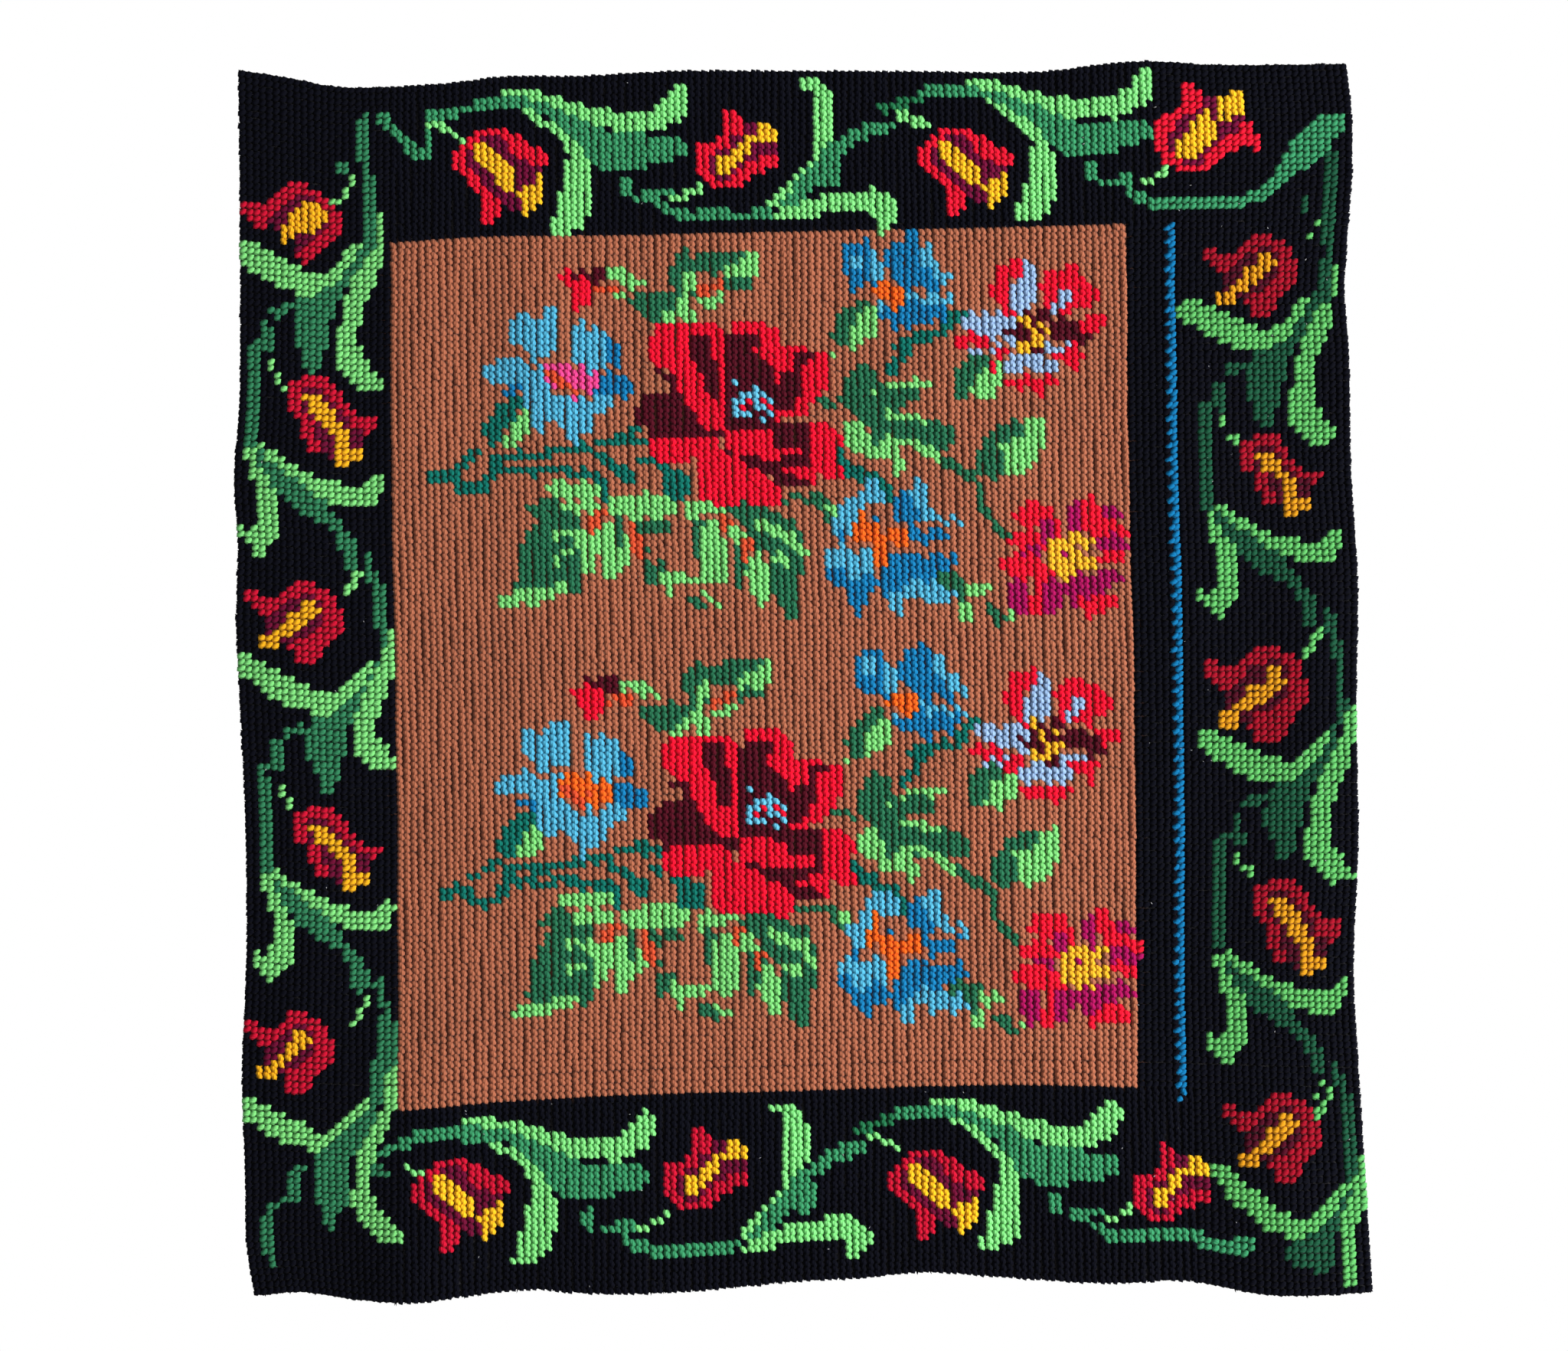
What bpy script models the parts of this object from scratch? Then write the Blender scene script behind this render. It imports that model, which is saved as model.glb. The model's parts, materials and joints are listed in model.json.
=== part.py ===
"""Cross-stitch wall hanging: one sheet of canvas filled with crossed wool stitches.

Metres, +Z up. The cloth hangs by its top edge in the XZ plane. Its stitched face looks
towards -Y and its back meets the wall at Y = 0. The origin is the middle of the top edge,
at the wall.
"""

import math
from collections import namedtuple

import bmesh
import bpy
import numpy as np

MM = 0.001

# The stitch and the counts of stitches drive the size of the whole cloth
STITCH_WIDTH = 6.0 * MM
STITCH_HEIGHT = 5.6 * MM
COLUMNS = 160
ROWS = 189
FIELD_COLUMNS = (22, 128)
FIELD_ROWS = (25, 160)

# The canvas with its crossed wool, and the stitched columns that stand up as ribs
THICKNESS = 3.4 * MM
RIB_HEIGHT = 1.0 * MM
EDGE_THICKNESS = 2.4 * MM

# The top strip lies flat on the wall, and below it the cloth comes away in soft swells
STRIP_ROWS = 5
FREE_FROM_ROW = 45

# How finely each face is divided
LEFT_BORDER_CELLS = 4
RIGHT_BORDER_CELLS = 6
LONG_CELLS = 18
BACK_STEP = 8

# How far an edge of the cloth, or of its brown field, wanders from the straight line.
# Side lines: how far down, and how far to the right of straight.
SideLine = namedtuple("SideLine", "down_mm right_mm")
LEFT_EDGE = [
    SideLine(0, -8.0),
    SideLine(120, -6.8),
    SideLine(200, -6.2),
    SideLine(285, -6.8),
    SideLine(362, -11.5),
    SideLine(402, -8.8),
    SideLine(480, -9.8),
    SideLine(560, -6.0),
    SideLine(640, -2.2),
    SideLine(760, -0.7),
    SideLine(880, -4.6),
    SideLine(960, -2.0),
    SideLine(1020, -0.6),
    SideLine(1058, 6.0),
]
FIELD_LEFT = [
    SideLine(0, -9.5),
    SideLine(148, -8.7),
    SideLine(350, -7.4),
    SideLine(540, -4.0),
    SideLine(740, -2.1),
    SideLine(1058, -2.0),
]
FIELD_RIGHT = [
    SideLine(0, -9.5),
    SideLine(148, -7.6),
    SideLine(350, -5.6),
    SideLine(540, -0.9),
    SideLine(740, 1.1),
    SideLine(1058, 3.7),
]
RIGHT_EDGE = [
    SideLine(0, -9.5),
    SideLine(50, -4.4),
    SideLine(90, -4.2),
    SideLine(160, -8.6),
    SideLine(203, -11.0),
    SideLine(243, -7.9),
    SideLine(362, -5.3),
    SideLine(442, 0.0),
    SideLine(560, -0.8),
    SideLine(680, 0.7),
    SideLine(790, -3.2),
    SideLine(880, 1.3),
    SideLine(960, 6.6),
    SideLine(1058, 12.6),
]

# Level lines: how far from the middle of the cloth, and how far above straight
LevelLine = namedtuple("LevelLine", "across_mm up_mm")
TOP_EDGE = [
    LevelLine(-488, 2.7),
    LevelLine(-430, -6.6),
    LevelLine(-400, -12.4),
    LevelLine(-350, -13.3),
    LevelLine(-297, -9.9),
    LevelLine(-244, -4.2),
    LevelLine(-190, -4.2),
    LevelLine(-111, 0.0),
    LevelLine(0, 0.4),
    LevelLine(100, 0.2),
    LevelLine(233, 1.3),
    LevelLine(270, 6.2),
    LevelLine(313, 9.0),
    LevelLine(350, 6.6),
    LevelLine(470, 6.6),
]
FIELD_TOP = [
    LevelLine(-488, 0.0),
    LevelLine(-357, -8.5),
    LevelLine(-290, -3.9),
    LevelLine(-178, -1.9),
    LevelLine(-5, 1.4),
    LevelLine(187, 5.4),
    LevelLine(280, 8.1),
    LevelLine(472, 12.5),
]
FIELD_BOTTOM = [
    LevelLine(-485, 4.0),
    LevelLine(-351, -2.4),
    LevelLine(-277, 3.6),
    LevelLine(-178, 9.6),
    LevelLine(-5, 14.9),
    LevelLine(187, 19.5),
    LevelLine(289, 17.5),
    LevelLine(482, 12.0),
]
BOTTOM_EDGE = [
    LevelLine(-473, 0.0),
    LevelLine(-440, 2.5),
    LevelLine(-390, -3.0),
    LevelLine(-337, -5.5),
    LevelLine(-284, 0.0),
    LevelLine(-231, 5.0),
    LevelLine(-190, 2.2),
    LevelLine(-72, 5.6),
    LevelLine(-10, 12.0),
    LevelLine(50, 15.2),
    LevelLine(105, 19.9),
    LevelLine(160, 16.4),
    LevelLine(273, 11.2),
    LevelLine(330, 12.6),
    LevelLine(380, 3.0),
    LevelLine(493, 3.2),
]

# Each swell is a long soft ridge where the cloth stands off the wall. Its length runs down
# the cloth and leans to the right by so many degrees.
Swell = namedtuple("Swell", "across_mm down_mm half_width_mm half_length_mm lean_deg height_mm")
SWELLS = [
    Swell(-436, 300, 44, 210, 3, 4.5),
    Swell(-338, 285, 30, 150, -2, 6.0),
    Swell(-232, 215, 34, 130, 4, 4.5),
    Swell(-62, 170, 26, 95, -3, 3.5),
    Swell(2, 185, 16, 80, 2, 4.0),
    Swell(130, 240, 60, 170, 12, 4.0),
    Swell(-60, 505, 330, 42, 3, 3.5),
    Swell(330, 330, 52, 240, 0, 5.0),
    Swell(440, 560, 38, 230, -2, 5.5),
    Swell(150, 640, 46, 140, 24, 4.5),
    Swell(-250, 640, 60, 170, -14, 4.0),
    Swell(-430, 760, 48, 220, 2, 5.0),
    Swell(-20, 860, 70, 190, 6, 5.0),
    Swell(-337, 1030, 46, 190, -3, 11.0),
    Swell(-150, 1050, 54, 150, 8, 5.5),
    Swell(255, 1050, 60, 150, -6, 6.5),
    Swell(425, 1040, 62, 210, 5, 12.0),
]


def smooth_line(table, at_mm):
    """A line through a table's points, with no corners: between two points it is the cubic
    that leaves each of them along the line through its neighbours."""
    x, y = np.array(table, dtype=float).T
    slope = np.gradient(y, x)
    at = np.clip(at_mm, x[0], x[-1])
    left = np.clip(np.searchsorted(x, at, side="right") - 1, 0, len(x) - 2)
    span = x[left + 1] - x[left]
    t = (at - x[left]) / span
    return (
        y[left] * (1 + 2 * t) * (1 - t) ** 2
        + slope[left] * span * t * (1 - t) ** 2
        + y[left + 1] * t ** 2 * (3 - 2 * t)
        + slope[left + 1] * span * t ** 2 * (t - 1)
    )


def between_lines(stops, lines, at):
    """The value at each place from the two lines on either side of it."""
    left = np.clip(np.searchsorted(stops, at, side="right") - 1, 0, len(stops) - 2)
    t = (at - stops[left]) / (stops[left + 1] - stops[left])
    lines = np.array(lines)
    index = np.arange(len(at))
    return lines[left, index] * (1 - t) + lines[left + 1, index] * t


def flat_place(column, row):
    """Where a stitch lies in the plane of the cloth: across and up, in metres."""
    straight_across = (column - COLUMNS / 2) * STITCH_WIDTH
    straight_down = row * STITCH_HEIGHT
    column_stops = np.array([0, *FIELD_COLUMNS, COLUMNS], dtype=float)
    row_stops = np.array([0, *FIELD_ROWS, ROWS], dtype=float)
    side_lines = (LEFT_EDGE, FIELD_LEFT, FIELD_RIGHT, RIGHT_EDGE)
    level_lines = (TOP_EDGE, FIELD_TOP, FIELD_BOTTOM, BOTTOM_EDGE)
    to_right = [smooth_line(line, straight_down / MM) * MM for line in side_lines]
    upwards = [smooth_line(line, straight_across / MM) * MM for line in level_lines]
    across = straight_across + between_lines(column_stops, to_right, column)
    up = -straight_down + between_lines(row_stops, upwards, row)
    return across, up


def smooth_step(start, end, at):
    """Nought before the start, one after the end, and a soft rise between them."""
    t = np.clip((at - start) / (end - start), 0, 1)
    return t * t * (3 - 2 * t)


def stand_off(column, row, across, up):
    """How far the back of the cloth stands off the wall, in metres."""
    height = np.zeros_like(across)
    for swell in SWELLS:
        lean = math.radians(swell.lean_deg)
        right = across - swell.across_mm * MM
        down = -up - swell.down_mm * MM
        aside = (right * math.cos(lean) - down * math.sin(lean)) / (swell.half_width_mm * MM)
        along = (right * math.sin(lean) + down * math.cos(lean)) / (swell.half_length_mm * MM)
        height += swell.height_mm * MM * np.exp(-(aside ** 2) - along ** 2)
    return height * smooth_step(STRIP_ROWS, FREE_FROM_ROW, row)


def cloth_depth(column, row):
    """How thick the cloth is: thinner at its turned edges, with a rib down each stitched
    column of its middle part."""
    on_edge = (column <= 0) | (column >= COLUMNS) | (row <= 0) | (row >= ROWS)
    in_middle = (column > FIELD_COLUMNS[0]) & (column < FIELD_COLUMNS[1])
    rib = RIB_HEIGHT * np.sin(math.pi * column) ** 2
    return np.where(on_edge, EDGE_THICKNESS, THICKNESS + np.where(in_middle, rib, RIB_HEIGHT / 2))


def grid_stops():
    """The columns and rows of stitches at which the faces have points."""
    first, last = FIELD_COLUMNS
    column_stops = np.concatenate([
        [0],
        np.linspace(1, first, LEFT_BORDER_CELLS + 1)[:-1],
        np.arange(first, last, 0.5),
        np.linspace(last, COLUMNS - 1, RIGHT_BORDER_CELLS + 1),
        [COLUMNS],
    ])
    row_stops = np.concatenate([
        [0, 1],
        np.linspace(STRIP_ROWS, ROWS - 1, LONG_CELLS),
        [ROWS],
    ])
    return column_stops, row_stops


def cloth_face(bm, column_stops, row_stops, is_front):
    """One face of the cloth: a flat grid whose points are moved to their places."""
    cells_across = len(column_stops) - 1
    cells_down = len(row_stops) - 1
    grid = bmesh.ops.create_grid(bm, x_segments=cells_across, y_segments=cells_down, size=0.5)
    points = grid["verts"]
    across_index = np.array([round((point.co.x + 0.5) * cells_across) for point in points])
    down_index = np.array([round((0.5 - point.co.y) * cells_down) for point in points])
    column = column_stops[across_index]
    row = row_stops[down_index]
    across, up = flat_place(column, row)
    depth = stand_off(column, row, across, up)
    if is_front:
        depth = depth + cloth_depth(column, row)
    lattice = {}
    for index, point in enumerate(points):
        point.co = (across[index], -depth[index], up[index])
        lattice[across_index[index], down_index[index]] = point
    return lattice


def rim_lines(cells_across, cells_down):
    """The four sides of a grid, each as the indices of its points in order."""
    top = [(i, 0) for i in range(cells_across + 1)]
    right = [(cells_across, j) for j in range(cells_down + 1)]
    bottom = [(i, cells_down) for i in range(cells_across + 1)]
    left = [(0, j) for j in range(cells_down + 1)]
    return top, right, bottom, left


def close_rim(bm, front, back, front_sides, back_sides, back_stops):
    """Joins the front to the coarser back. Each back edge faces a run of front edges."""
    for front_side, back_side, stops in zip(front_sides, back_sides, back_stops):
        for near, far in zip(range(len(stops) - 1), range(1, len(stops))):
            run = [front[front_side[k]] for k in range(stops[near], stops[far] + 1)]
            bm.faces.new(run + [back[back_side[far]], back[back_side[near]]])


def build_cloth(collection):
    """The cloth as one closed solid, front, back and rim."""
    column_stops, row_stops = grid_stops()
    field_start = int(np.searchsorted(column_stops, FIELD_COLUMNS[0]))
    field_end = int(np.searchsorted(column_stops, FIELD_COLUMNS[1]))
    kept_columns = [
        *range(0, field_start),
        *range(field_start, field_end, BACK_STEP),
        *range(field_end, len(column_stops)),
    ]
    kept_rows = list(range(len(row_stops)))
    bm = bmesh.new()
    front = cloth_face(bm, column_stops, row_stops, is_front=True)
    back = cloth_face(bm, column_stops[kept_columns], row_stops, is_front=False)
    front_sides = rim_lines(len(column_stops) - 1, len(row_stops) - 1)
    back_sides = rim_lines(len(kept_columns) - 1, len(row_stops) - 1)
    back_stops = (kept_columns, kept_rows, kept_columns, kept_rows)
    close_rim(bm, front, back, front_sides, back_sides, back_stops)
    bmesh.ops.triangulate(bm, faces=bm.faces[:])
    bmesh.ops.recalc_face_normals(bm, faces=bm.faces[:])
    mesh = bpy.data.meshes.new("embroidered_cloth")
    bm.to_mesh(mesh)
    bm.free()
    mesh.shade_smooth()
    mesh.set_sharp_from_angle(angle=math.radians(60))
    cloth = bpy.data.objects.new("embroidered_cloth", mesh)
    cloth.data.materials.append(stitched_wool())
    collection.objects.link(cloth)
    return cloth


def stitched_wool():
    """Matt wool: the dark border and the brown field seen as one colour."""
    material = bpy.data.materials.new("stitched_wool")
    material.use_nodes = True
    shader = material.node_tree.nodes["Principled BSDF"]
    shader.inputs["Base Color"].default_value = (0.13, 0.055, 0.035, 1.0)
    shader.inputs["Roughness"].default_value = 0.9
    shader.inputs["Metallic"].default_value = 0.0
    return material


for old in list(bpy.data.objects):
    bpy.data.objects.remove(old, do_unlink=True)

hanging = bpy.data.collections.new("cross_stitch_wall_hanging")
bpy.context.scene.collection.children.link(hanging)
build_cloth(hanging)
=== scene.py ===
import json
import math
from collections import namedtuple

import bpy
import numpy as np
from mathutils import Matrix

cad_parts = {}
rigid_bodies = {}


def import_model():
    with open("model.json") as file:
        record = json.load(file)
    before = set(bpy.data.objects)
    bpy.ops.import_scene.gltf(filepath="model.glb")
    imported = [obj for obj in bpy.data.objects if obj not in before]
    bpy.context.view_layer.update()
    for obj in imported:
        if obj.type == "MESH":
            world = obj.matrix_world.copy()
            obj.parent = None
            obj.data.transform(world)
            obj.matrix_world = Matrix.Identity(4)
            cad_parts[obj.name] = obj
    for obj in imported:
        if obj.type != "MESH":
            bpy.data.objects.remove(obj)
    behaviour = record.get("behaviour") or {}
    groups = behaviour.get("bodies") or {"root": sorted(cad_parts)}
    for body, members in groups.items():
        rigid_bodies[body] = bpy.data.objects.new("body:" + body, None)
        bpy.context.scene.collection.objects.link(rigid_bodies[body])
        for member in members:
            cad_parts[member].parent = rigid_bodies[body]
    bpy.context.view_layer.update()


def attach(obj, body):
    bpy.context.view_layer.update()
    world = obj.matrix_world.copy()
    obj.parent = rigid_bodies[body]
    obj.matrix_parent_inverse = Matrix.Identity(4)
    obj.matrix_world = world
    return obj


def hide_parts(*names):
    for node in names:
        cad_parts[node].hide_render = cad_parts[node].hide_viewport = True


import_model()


# The canvas ground. One piece of coarse canvas, counted in stitches and hung by its top edge,
# carries all the wool. Years of hanging have pulled its edges and its brown field out of true.
MM = 0.001
STITCH_WIDTH = 6.0 * MM
STITCH_HEIGHT = 5.6 * MM
COLUMNS = 160
ROWS = 189
FIELD_COLUMNS = (22, 128)
FIELD_ROWS = (25, 160)
STRIP_ROWS = 5
FREE_FROM_ROW = 45
CANVAS_BACK = 0.9 * MM
CANVAS_FRONT = 1.6 * MM
CANVAS_INSET = 0.3
CANVAS_CELLS = (80, 95)
# Painted shade: the canvas is coloured near black under the border and dark brown under the field,
# so the gaps between the strands look shaded.
CANVAS_PAINTED_SHADE = (0.006, 0.005, 0.007)
FIELD_CANVAS_PAINTED_SHADE = (0.10, 0.030, 0.014)
CANVAS_ROUGHNESS = 0.95
THREAD_SCALE = 170.0
THREAD_RELIEF = 0.4 * MM
THREAD_RELIEF_SHARE = 0.6

# How the sides of the cloth and of its field wander: at each place down the cloth, how far they
# lie to the right of straight, both in millimetres.
LEFT_EDGE = [
    (0, -8), (120, -6.8), (200, -6.2), (285, -6.8), (362, -11.5), (402, -8.8), (480, -9.8),
    (560, -6), (640, -2.2), (760, -0.7), (880, -4.6), (960, -2), (1020, -0.6), (1058, 6),
]
FIELD_LEFT = [
    (0, -9.5), (148, -8.7), (350, -7.4), (540, -4), (740, -2.1), (1058, -2),
]
FIELD_RIGHT = [
    (0, -9.5), (148, -7.6), (350, -5.6), (540, -0.9), (740, 1.1), (1058, 3.7),
]
RIGHT_EDGE = [
    (0, -9.5), (50, -4.4), (90, -4.2), (160, -8.6), (203, -11), (243, -7.9), (362, -5.3), (442, 0),
    (560, -0.8), (680, 0.7), (790, -3.2), (880, 1.3), (960, 6.6), (1058, 12.6),
]
# How the level lines wander: at each place across, how far they lie above straight.
TOP_EDGE = [
    (-488, 2.7), (-430, -6.6), (-400, -12.4), (-350, -13.3), (-297, -9.9), (-244, -4.2),
    (-190, -4.2), (-111, 0), (0, 0.4), (100, 0.2), (233, 1.3), (270, 6.2), (313, 9), (350, 6.6),
    (470, 6.6),
]
FIELD_TOP = [
    (-488, 0), (-357, -8.5), (-290, -3.9), (-178, -1.9), (-5, 1.4), (187, 5.4), (280, 8.1),
    (472, 12.5),
]
FIELD_BOTTOM = [
    (-485, 4), (-351, -2.4), (-277, 3.6), (-178, 9.6), (-5, 14.9), (187, 19.5), (289, 17.5),
    (482, 12),
]
BOTTOM_EDGE = [
    (-473, 0), (-440, 2.5), (-390, -3), (-337, -5.5), (-284, 0), (-231, 5), (-190, 2.2), (-72, 5.6),
    (-10, 12), (50, 15.2), (105, 19.9), (160, 16.4), (273, 11.2), (330, 12.6), (380, 3), (493, 3.2),
]
Swell = namedtuple("Swell", "across_mm down_mm half_width_mm half_length_mm lean_deg height_mm")
SWELLS = [
    Swell(-436, 300, 44, 210, 3, 4.5),
    Swell(-338, 285, 30, 150, -2, 6.0),
    Swell(-232, 215, 34, 130, 4, 4.5),
    Swell(-62, 170, 26, 95, -3, 3.5),
    Swell(2, 185, 16, 80, 2, 4.0),
    Swell(130, 240, 60, 170, 12, 4.0),
    Swell(-60, 505, 330, 42, 3, 3.5),
    Swell(330, 330, 52, 240, 0, 5.0),
    Swell(440, 560, 38, 230, -2, 5.5),
    Swell(150, 640, 46, 140, 24, 4.5),
    Swell(-250, 640, 60, 170, -14, 4.0),
    Swell(-430, 760, 48, 220, 2, 5.0),
    Swell(-20, 860, 70, 190, 6, 5.0),
    Swell(-337, 1030, 46, 190, -3, 11.0),
    Swell(-150, 1050, 54, 150, 8, 5.5),
    Swell(255, 1050, 60, 150, -6, 6.5),
    Swell(425, 1040, 62, 210, 5, 12.0),
]


def smooth_line(table, at_mm):
    """A line with no corners: between two points of the table it is the cubic that leaves each
    of them along the line through its neighbours."""
    x, y = np.array(table, dtype=float).T
    slope = np.gradient(y, x)
    at = np.clip(at_mm, x[0], x[-1])
    left = np.clip(np.searchsorted(x, at, side="right") - 1, 0, len(x) - 2)
    span = x[left + 1] - x[left]
    t = (at - x[left]) / span
    return (
        y[left] * (1 + 2 * t) * (1 - t) ** 2
        + slope[left] * span * t * (1 - t) ** 2
        + y[left + 1] * t ** 2 * (3 - 2 * t)
        + slope[left + 1] * span * t ** 2 * (t - 1)
    )


def between_lines(stops, lines, at):
    """The value at each place, in proportion to its distance from the two lines beside it."""
    left = np.clip(np.searchsorted(stops, at, side="right") - 1, 0, len(stops) - 2)
    t = (at - stops[left]) / (stops[left + 1] - stops[left])
    lines = np.array(lines)
    index = np.arange(len(at))
    return lines[left, index] * (1 - t) + lines[left + 1, index] * t


def flat_place(column, row):
    """Across is the column times the stitch's width, and up is less the row times its height,
    each moved by as much as the edge and field lines beside it wander."""
    straight_across = (column - COLUMNS / 2) * STITCH_WIDTH
    straight_down = row * STITCH_HEIGHT
    column_stops = np.array([0, *FIELD_COLUMNS, COLUMNS], dtype=float)
    row_stops = np.array([0, *FIELD_ROWS, ROWS], dtype=float)
    side_lines = (LEFT_EDGE, FIELD_LEFT, FIELD_RIGHT, RIGHT_EDGE)
    level_lines = (TOP_EDGE, FIELD_TOP, FIELD_BOTTOM, BOTTOM_EDGE)
    to_right = [smooth_line(line, straight_down / MM) * MM for line in side_lines]
    upwards = [smooth_line(line, straight_across / MM) * MM for line in level_lines]
    across = straight_across + between_lines(column_stops, to_right, column)
    up = -straight_down + between_lines(row_stops, upwards, row)
    return across, up


def stand_off(row, across, up):
    """The sum of the swells, each a Gaussian hump along its own leaning line, times a soft step
    that is nought on the top strip and one below the row where the cloth hangs free."""
    height = np.zeros_like(across)
    for swell in SWELLS:
        lean = math.radians(swell.lean_deg)
        right = across - swell.across_mm * MM
        down = -up - swell.down_mm * MM
        aside = (right * math.cos(lean) - down * math.sin(lean)) / (swell.half_width_mm * MM)
        along = (right * math.sin(lean) + down * math.cos(lean)) / (swell.half_length_mm * MM)
        height += swell.height_mm * MM * np.exp(-(aside ** 2) - along ** 2)
    t = np.clip((row - STRIP_ROWS) / (FREE_FROM_ROW - STRIP_ROWS), 0, 1)
    return height * t * t * (3 - 2 * t)


def cloth_place(column, row, height):
    """A point of the cloth: its flat place, and its stand-off plus its height over the back."""
    shape = column.shape
    across, up = flat_place(column.ravel(), row.ravel())
    out = stand_off(row.ravel(), across, up) + height.ravel()
    return np.stack([across, -out, up], axis=-1).reshape(*shape, 3)


def mesh_piece(name, points, faces, material):
    """A smooth mesh from whole arrays: its points, and faces that all have as many corners."""
    mesh = bpy.data.meshes.new(name)
    mesh.vertices.add(len(points))
    mesh.vertices.foreach_set("co", points.astype(np.float32).ravel())
    mesh.loops.add(faces.size)
    mesh.loops.foreach_set("vertex_index", faces.astype(np.int32).ravel())
    mesh.polygons.add(len(faces))
    starts = np.arange(0, faces.size, faces.shape[1], dtype=np.int32)
    mesh.polygons.foreach_set("loop_start", starts)
    mesh.update(calc_edges=True)
    mesh.shade_smooth()
    piece = bpy.data.objects.new(name, mesh)
    piece.data.materials.append(material)
    bpy.context.scene.collection.objects.link(piece)
    return piece


def closed_sheet(column, row, back, front):
    """A grid at the front height, the same grid turned round at the back height, and a strip of
    faces between them that follows the rim once round."""
    faced = [cloth_place(column, row, np.full(column.shape, height)) for height in (front, back)]
    index = np.arange(column.size).reshape(column.shape)
    corners = (index[:-1, :-1], index[1:, :-1], index[1:, 1:], index[:-1, 1:])
    cells = np.stack(corners, axis=-1).reshape(-1, 4)
    rim = np.concatenate([index[0, :-1], index[:-1, -1], index[-1, :0:-1], index[:0:-1, 0]])
    after = np.roll(rim, -1)
    sides = np.stack([rim, after, after + column.size, rim + column.size], axis=-1)
    faces = np.concatenate([cells, cells[:, ::-1] + column.size, sides])
    return np.concatenate([part.reshape(-1, 3) for part in faced]), faces


def within_field(column, row):
    """Whether each place lies in the brown field: between its two sides, its top and its foot."""
    between_sides = (column > FIELD_COLUMNS[0]) & (column < FIELD_COLUMNS[1])
    return between_sides & (row > FIELD_ROWS[0]) & (row < FIELD_ROWS[1])


def matt_material(name, roughness):
    """A new material with a rough shader. Gives the material, its node tree and the shader."""
    material = bpy.data.materials.new(name)
    material.use_nodes = True
    shader = material.node_tree.nodes["Principled BSDF"]
    shader.inputs["Roughness"].default_value = roughness
    return material, material.node_tree, shader


def add_node(tree, kind, sockets):
    """A new node, each of whose sockets gets a fixed value or another node's output."""
    node = tree.nodes.new("ShaderNode" + kind)
    for socket, value in sockets.items():
        if isinstance(value, bpy.types.NodeSocket):
            tree.links.new(value, node.inputs[socket])
        else:
            node.inputs[socket].default_value = value
    return node


def worked_out(tree, operation, *values):
    """One number, worked out from up to three others. Each is fixed or another node's output."""
    node = add_node(tree, "Math", dict(enumerate(values)))
    node.operation = operation
    return node.outputs["Value"]


def canvas_cloth():
    """Stiff canvas: a plain weave of thick threads, raised by the higher of two crossed waves. Its
    colour is painted shade, near black in the border and dark brown in the field, so that where it
    shows between the strands it looks shaded."""
    material, tree, shader = matt_material("canvas_cloth", CANVAS_ROUGHNESS)
    place = add_node(tree, "TexCoord", {}).outputs["Object"]
    over = add_node(tree, "TexWave", {"Scale": THREAD_SCALE, "Vector": place})
    under = add_node(tree, "TexWave", {"Scale": THREAD_SCALE, "Vector": place})
    over.bands_direction = "X"
    under.bands_direction = "Z"
    weave = worked_out(tree, "MAXIMUM", over.outputs["Fac"], under.outputs["Fac"])
    field = add_node(tree, "Attribute", {})
    field.attribute_name = "field"
    colour = add_node(tree, "MixRGB", {
        "Fac": field.outputs["Fac"],
        "Color1": (*CANVAS_PAINTED_SHADE, 1.0),
        "Color2": (*FIELD_CANVAS_PAINTED_SHADE, 1.0),
    })
    bump = add_node(tree, "Bump", {
        "Strength": THREAD_RELIEF_SHARE,
        "Distance": THREAD_RELIEF,
        "Height": weave,
    })
    tree.links.new(colour.outputs["Color"], shader.inputs["Base Color"])
    tree.links.new(bump.outputs["Normal"], shader.inputs["Normal"])
    return material


grid_column, grid_row = np.meshgrid(
    np.linspace(CANVAS_INSET, COLUMNS - CANVAS_INSET, CANVAS_CELLS[0] + 1),
    np.linspace(CANVAS_INSET, ROWS - CANVAS_INSET, CANVAS_CELLS[1] + 1),
)
canvas_points, canvas_faces = closed_sheet(grid_column, grid_row, CANVAS_BACK, CANVAS_FRONT)
canvas = mesh_piece("canvas_ground", canvas_points, canvas_faces, canvas_cloth())
under_field = np.tile(within_field(grid_column, grid_row).ravel(), 2)
shares = canvas.data.attributes.new("field", "FLOAT", "POINT")
shares.data.foreach_set("value", under_field.astype(np.float32))
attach(canvas, "root")
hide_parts("embroidered_cloth")


# The tulips. Eighteen sit in the border, worked in red, wine and gold wool from six small charts,
# some of them stretched. Each stitch is two strands of wool crossed over one thread of the canvas,
# with a bar left on the back. In the sides the strands lie in rows.
TULIP_DYES = {
    "red": (226, 16, 46),
    "wine": (104, 4, 50),
    "gold": (240, 180, 30),
    "crimson": (186, 10, 44),
    "dark_wine": (98, 4, 44),
    "old_gold": (232, 166, 24),
    # Painted shade: the last three wools are darker copies of crimson, dark wine and old gold, for
    # the tulips down the right side.
    "far_crimson": (148, 6, 32),
    "far_wine": (70, 2, 26),
    "far_gold": (204, 138, 20),
}
LEFT_CUP = """
...RRRRR......
..RRWWWRRR....
.RRGGWWWRRR...
RRWGGGWWRRRRR.
RRWGGGGWWRRRRR
RRWWGGGGWWWRRR
.RRWWGGGGWWWW.
..RRWWGGGWWWG.
...RRWWGGWGGG.
....RRWWWGGGG.
....RRRWWWGGG.
....RRR.WWGG..
....RRR...G...
....RR........
"""
SMALL_CUP = """
....RR......
....RRR.....
....RRRWWGG.
....RRRWWGGG
...RRWWGGGGG
RRRRRWGGWWWW
RRRWWGGGWWWW
RRWGGGGWWRRR
RRWGGGWRRRRR
RRWGGWRRRR..
.RRWWRRR....
..RRRRR.....
"""
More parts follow.
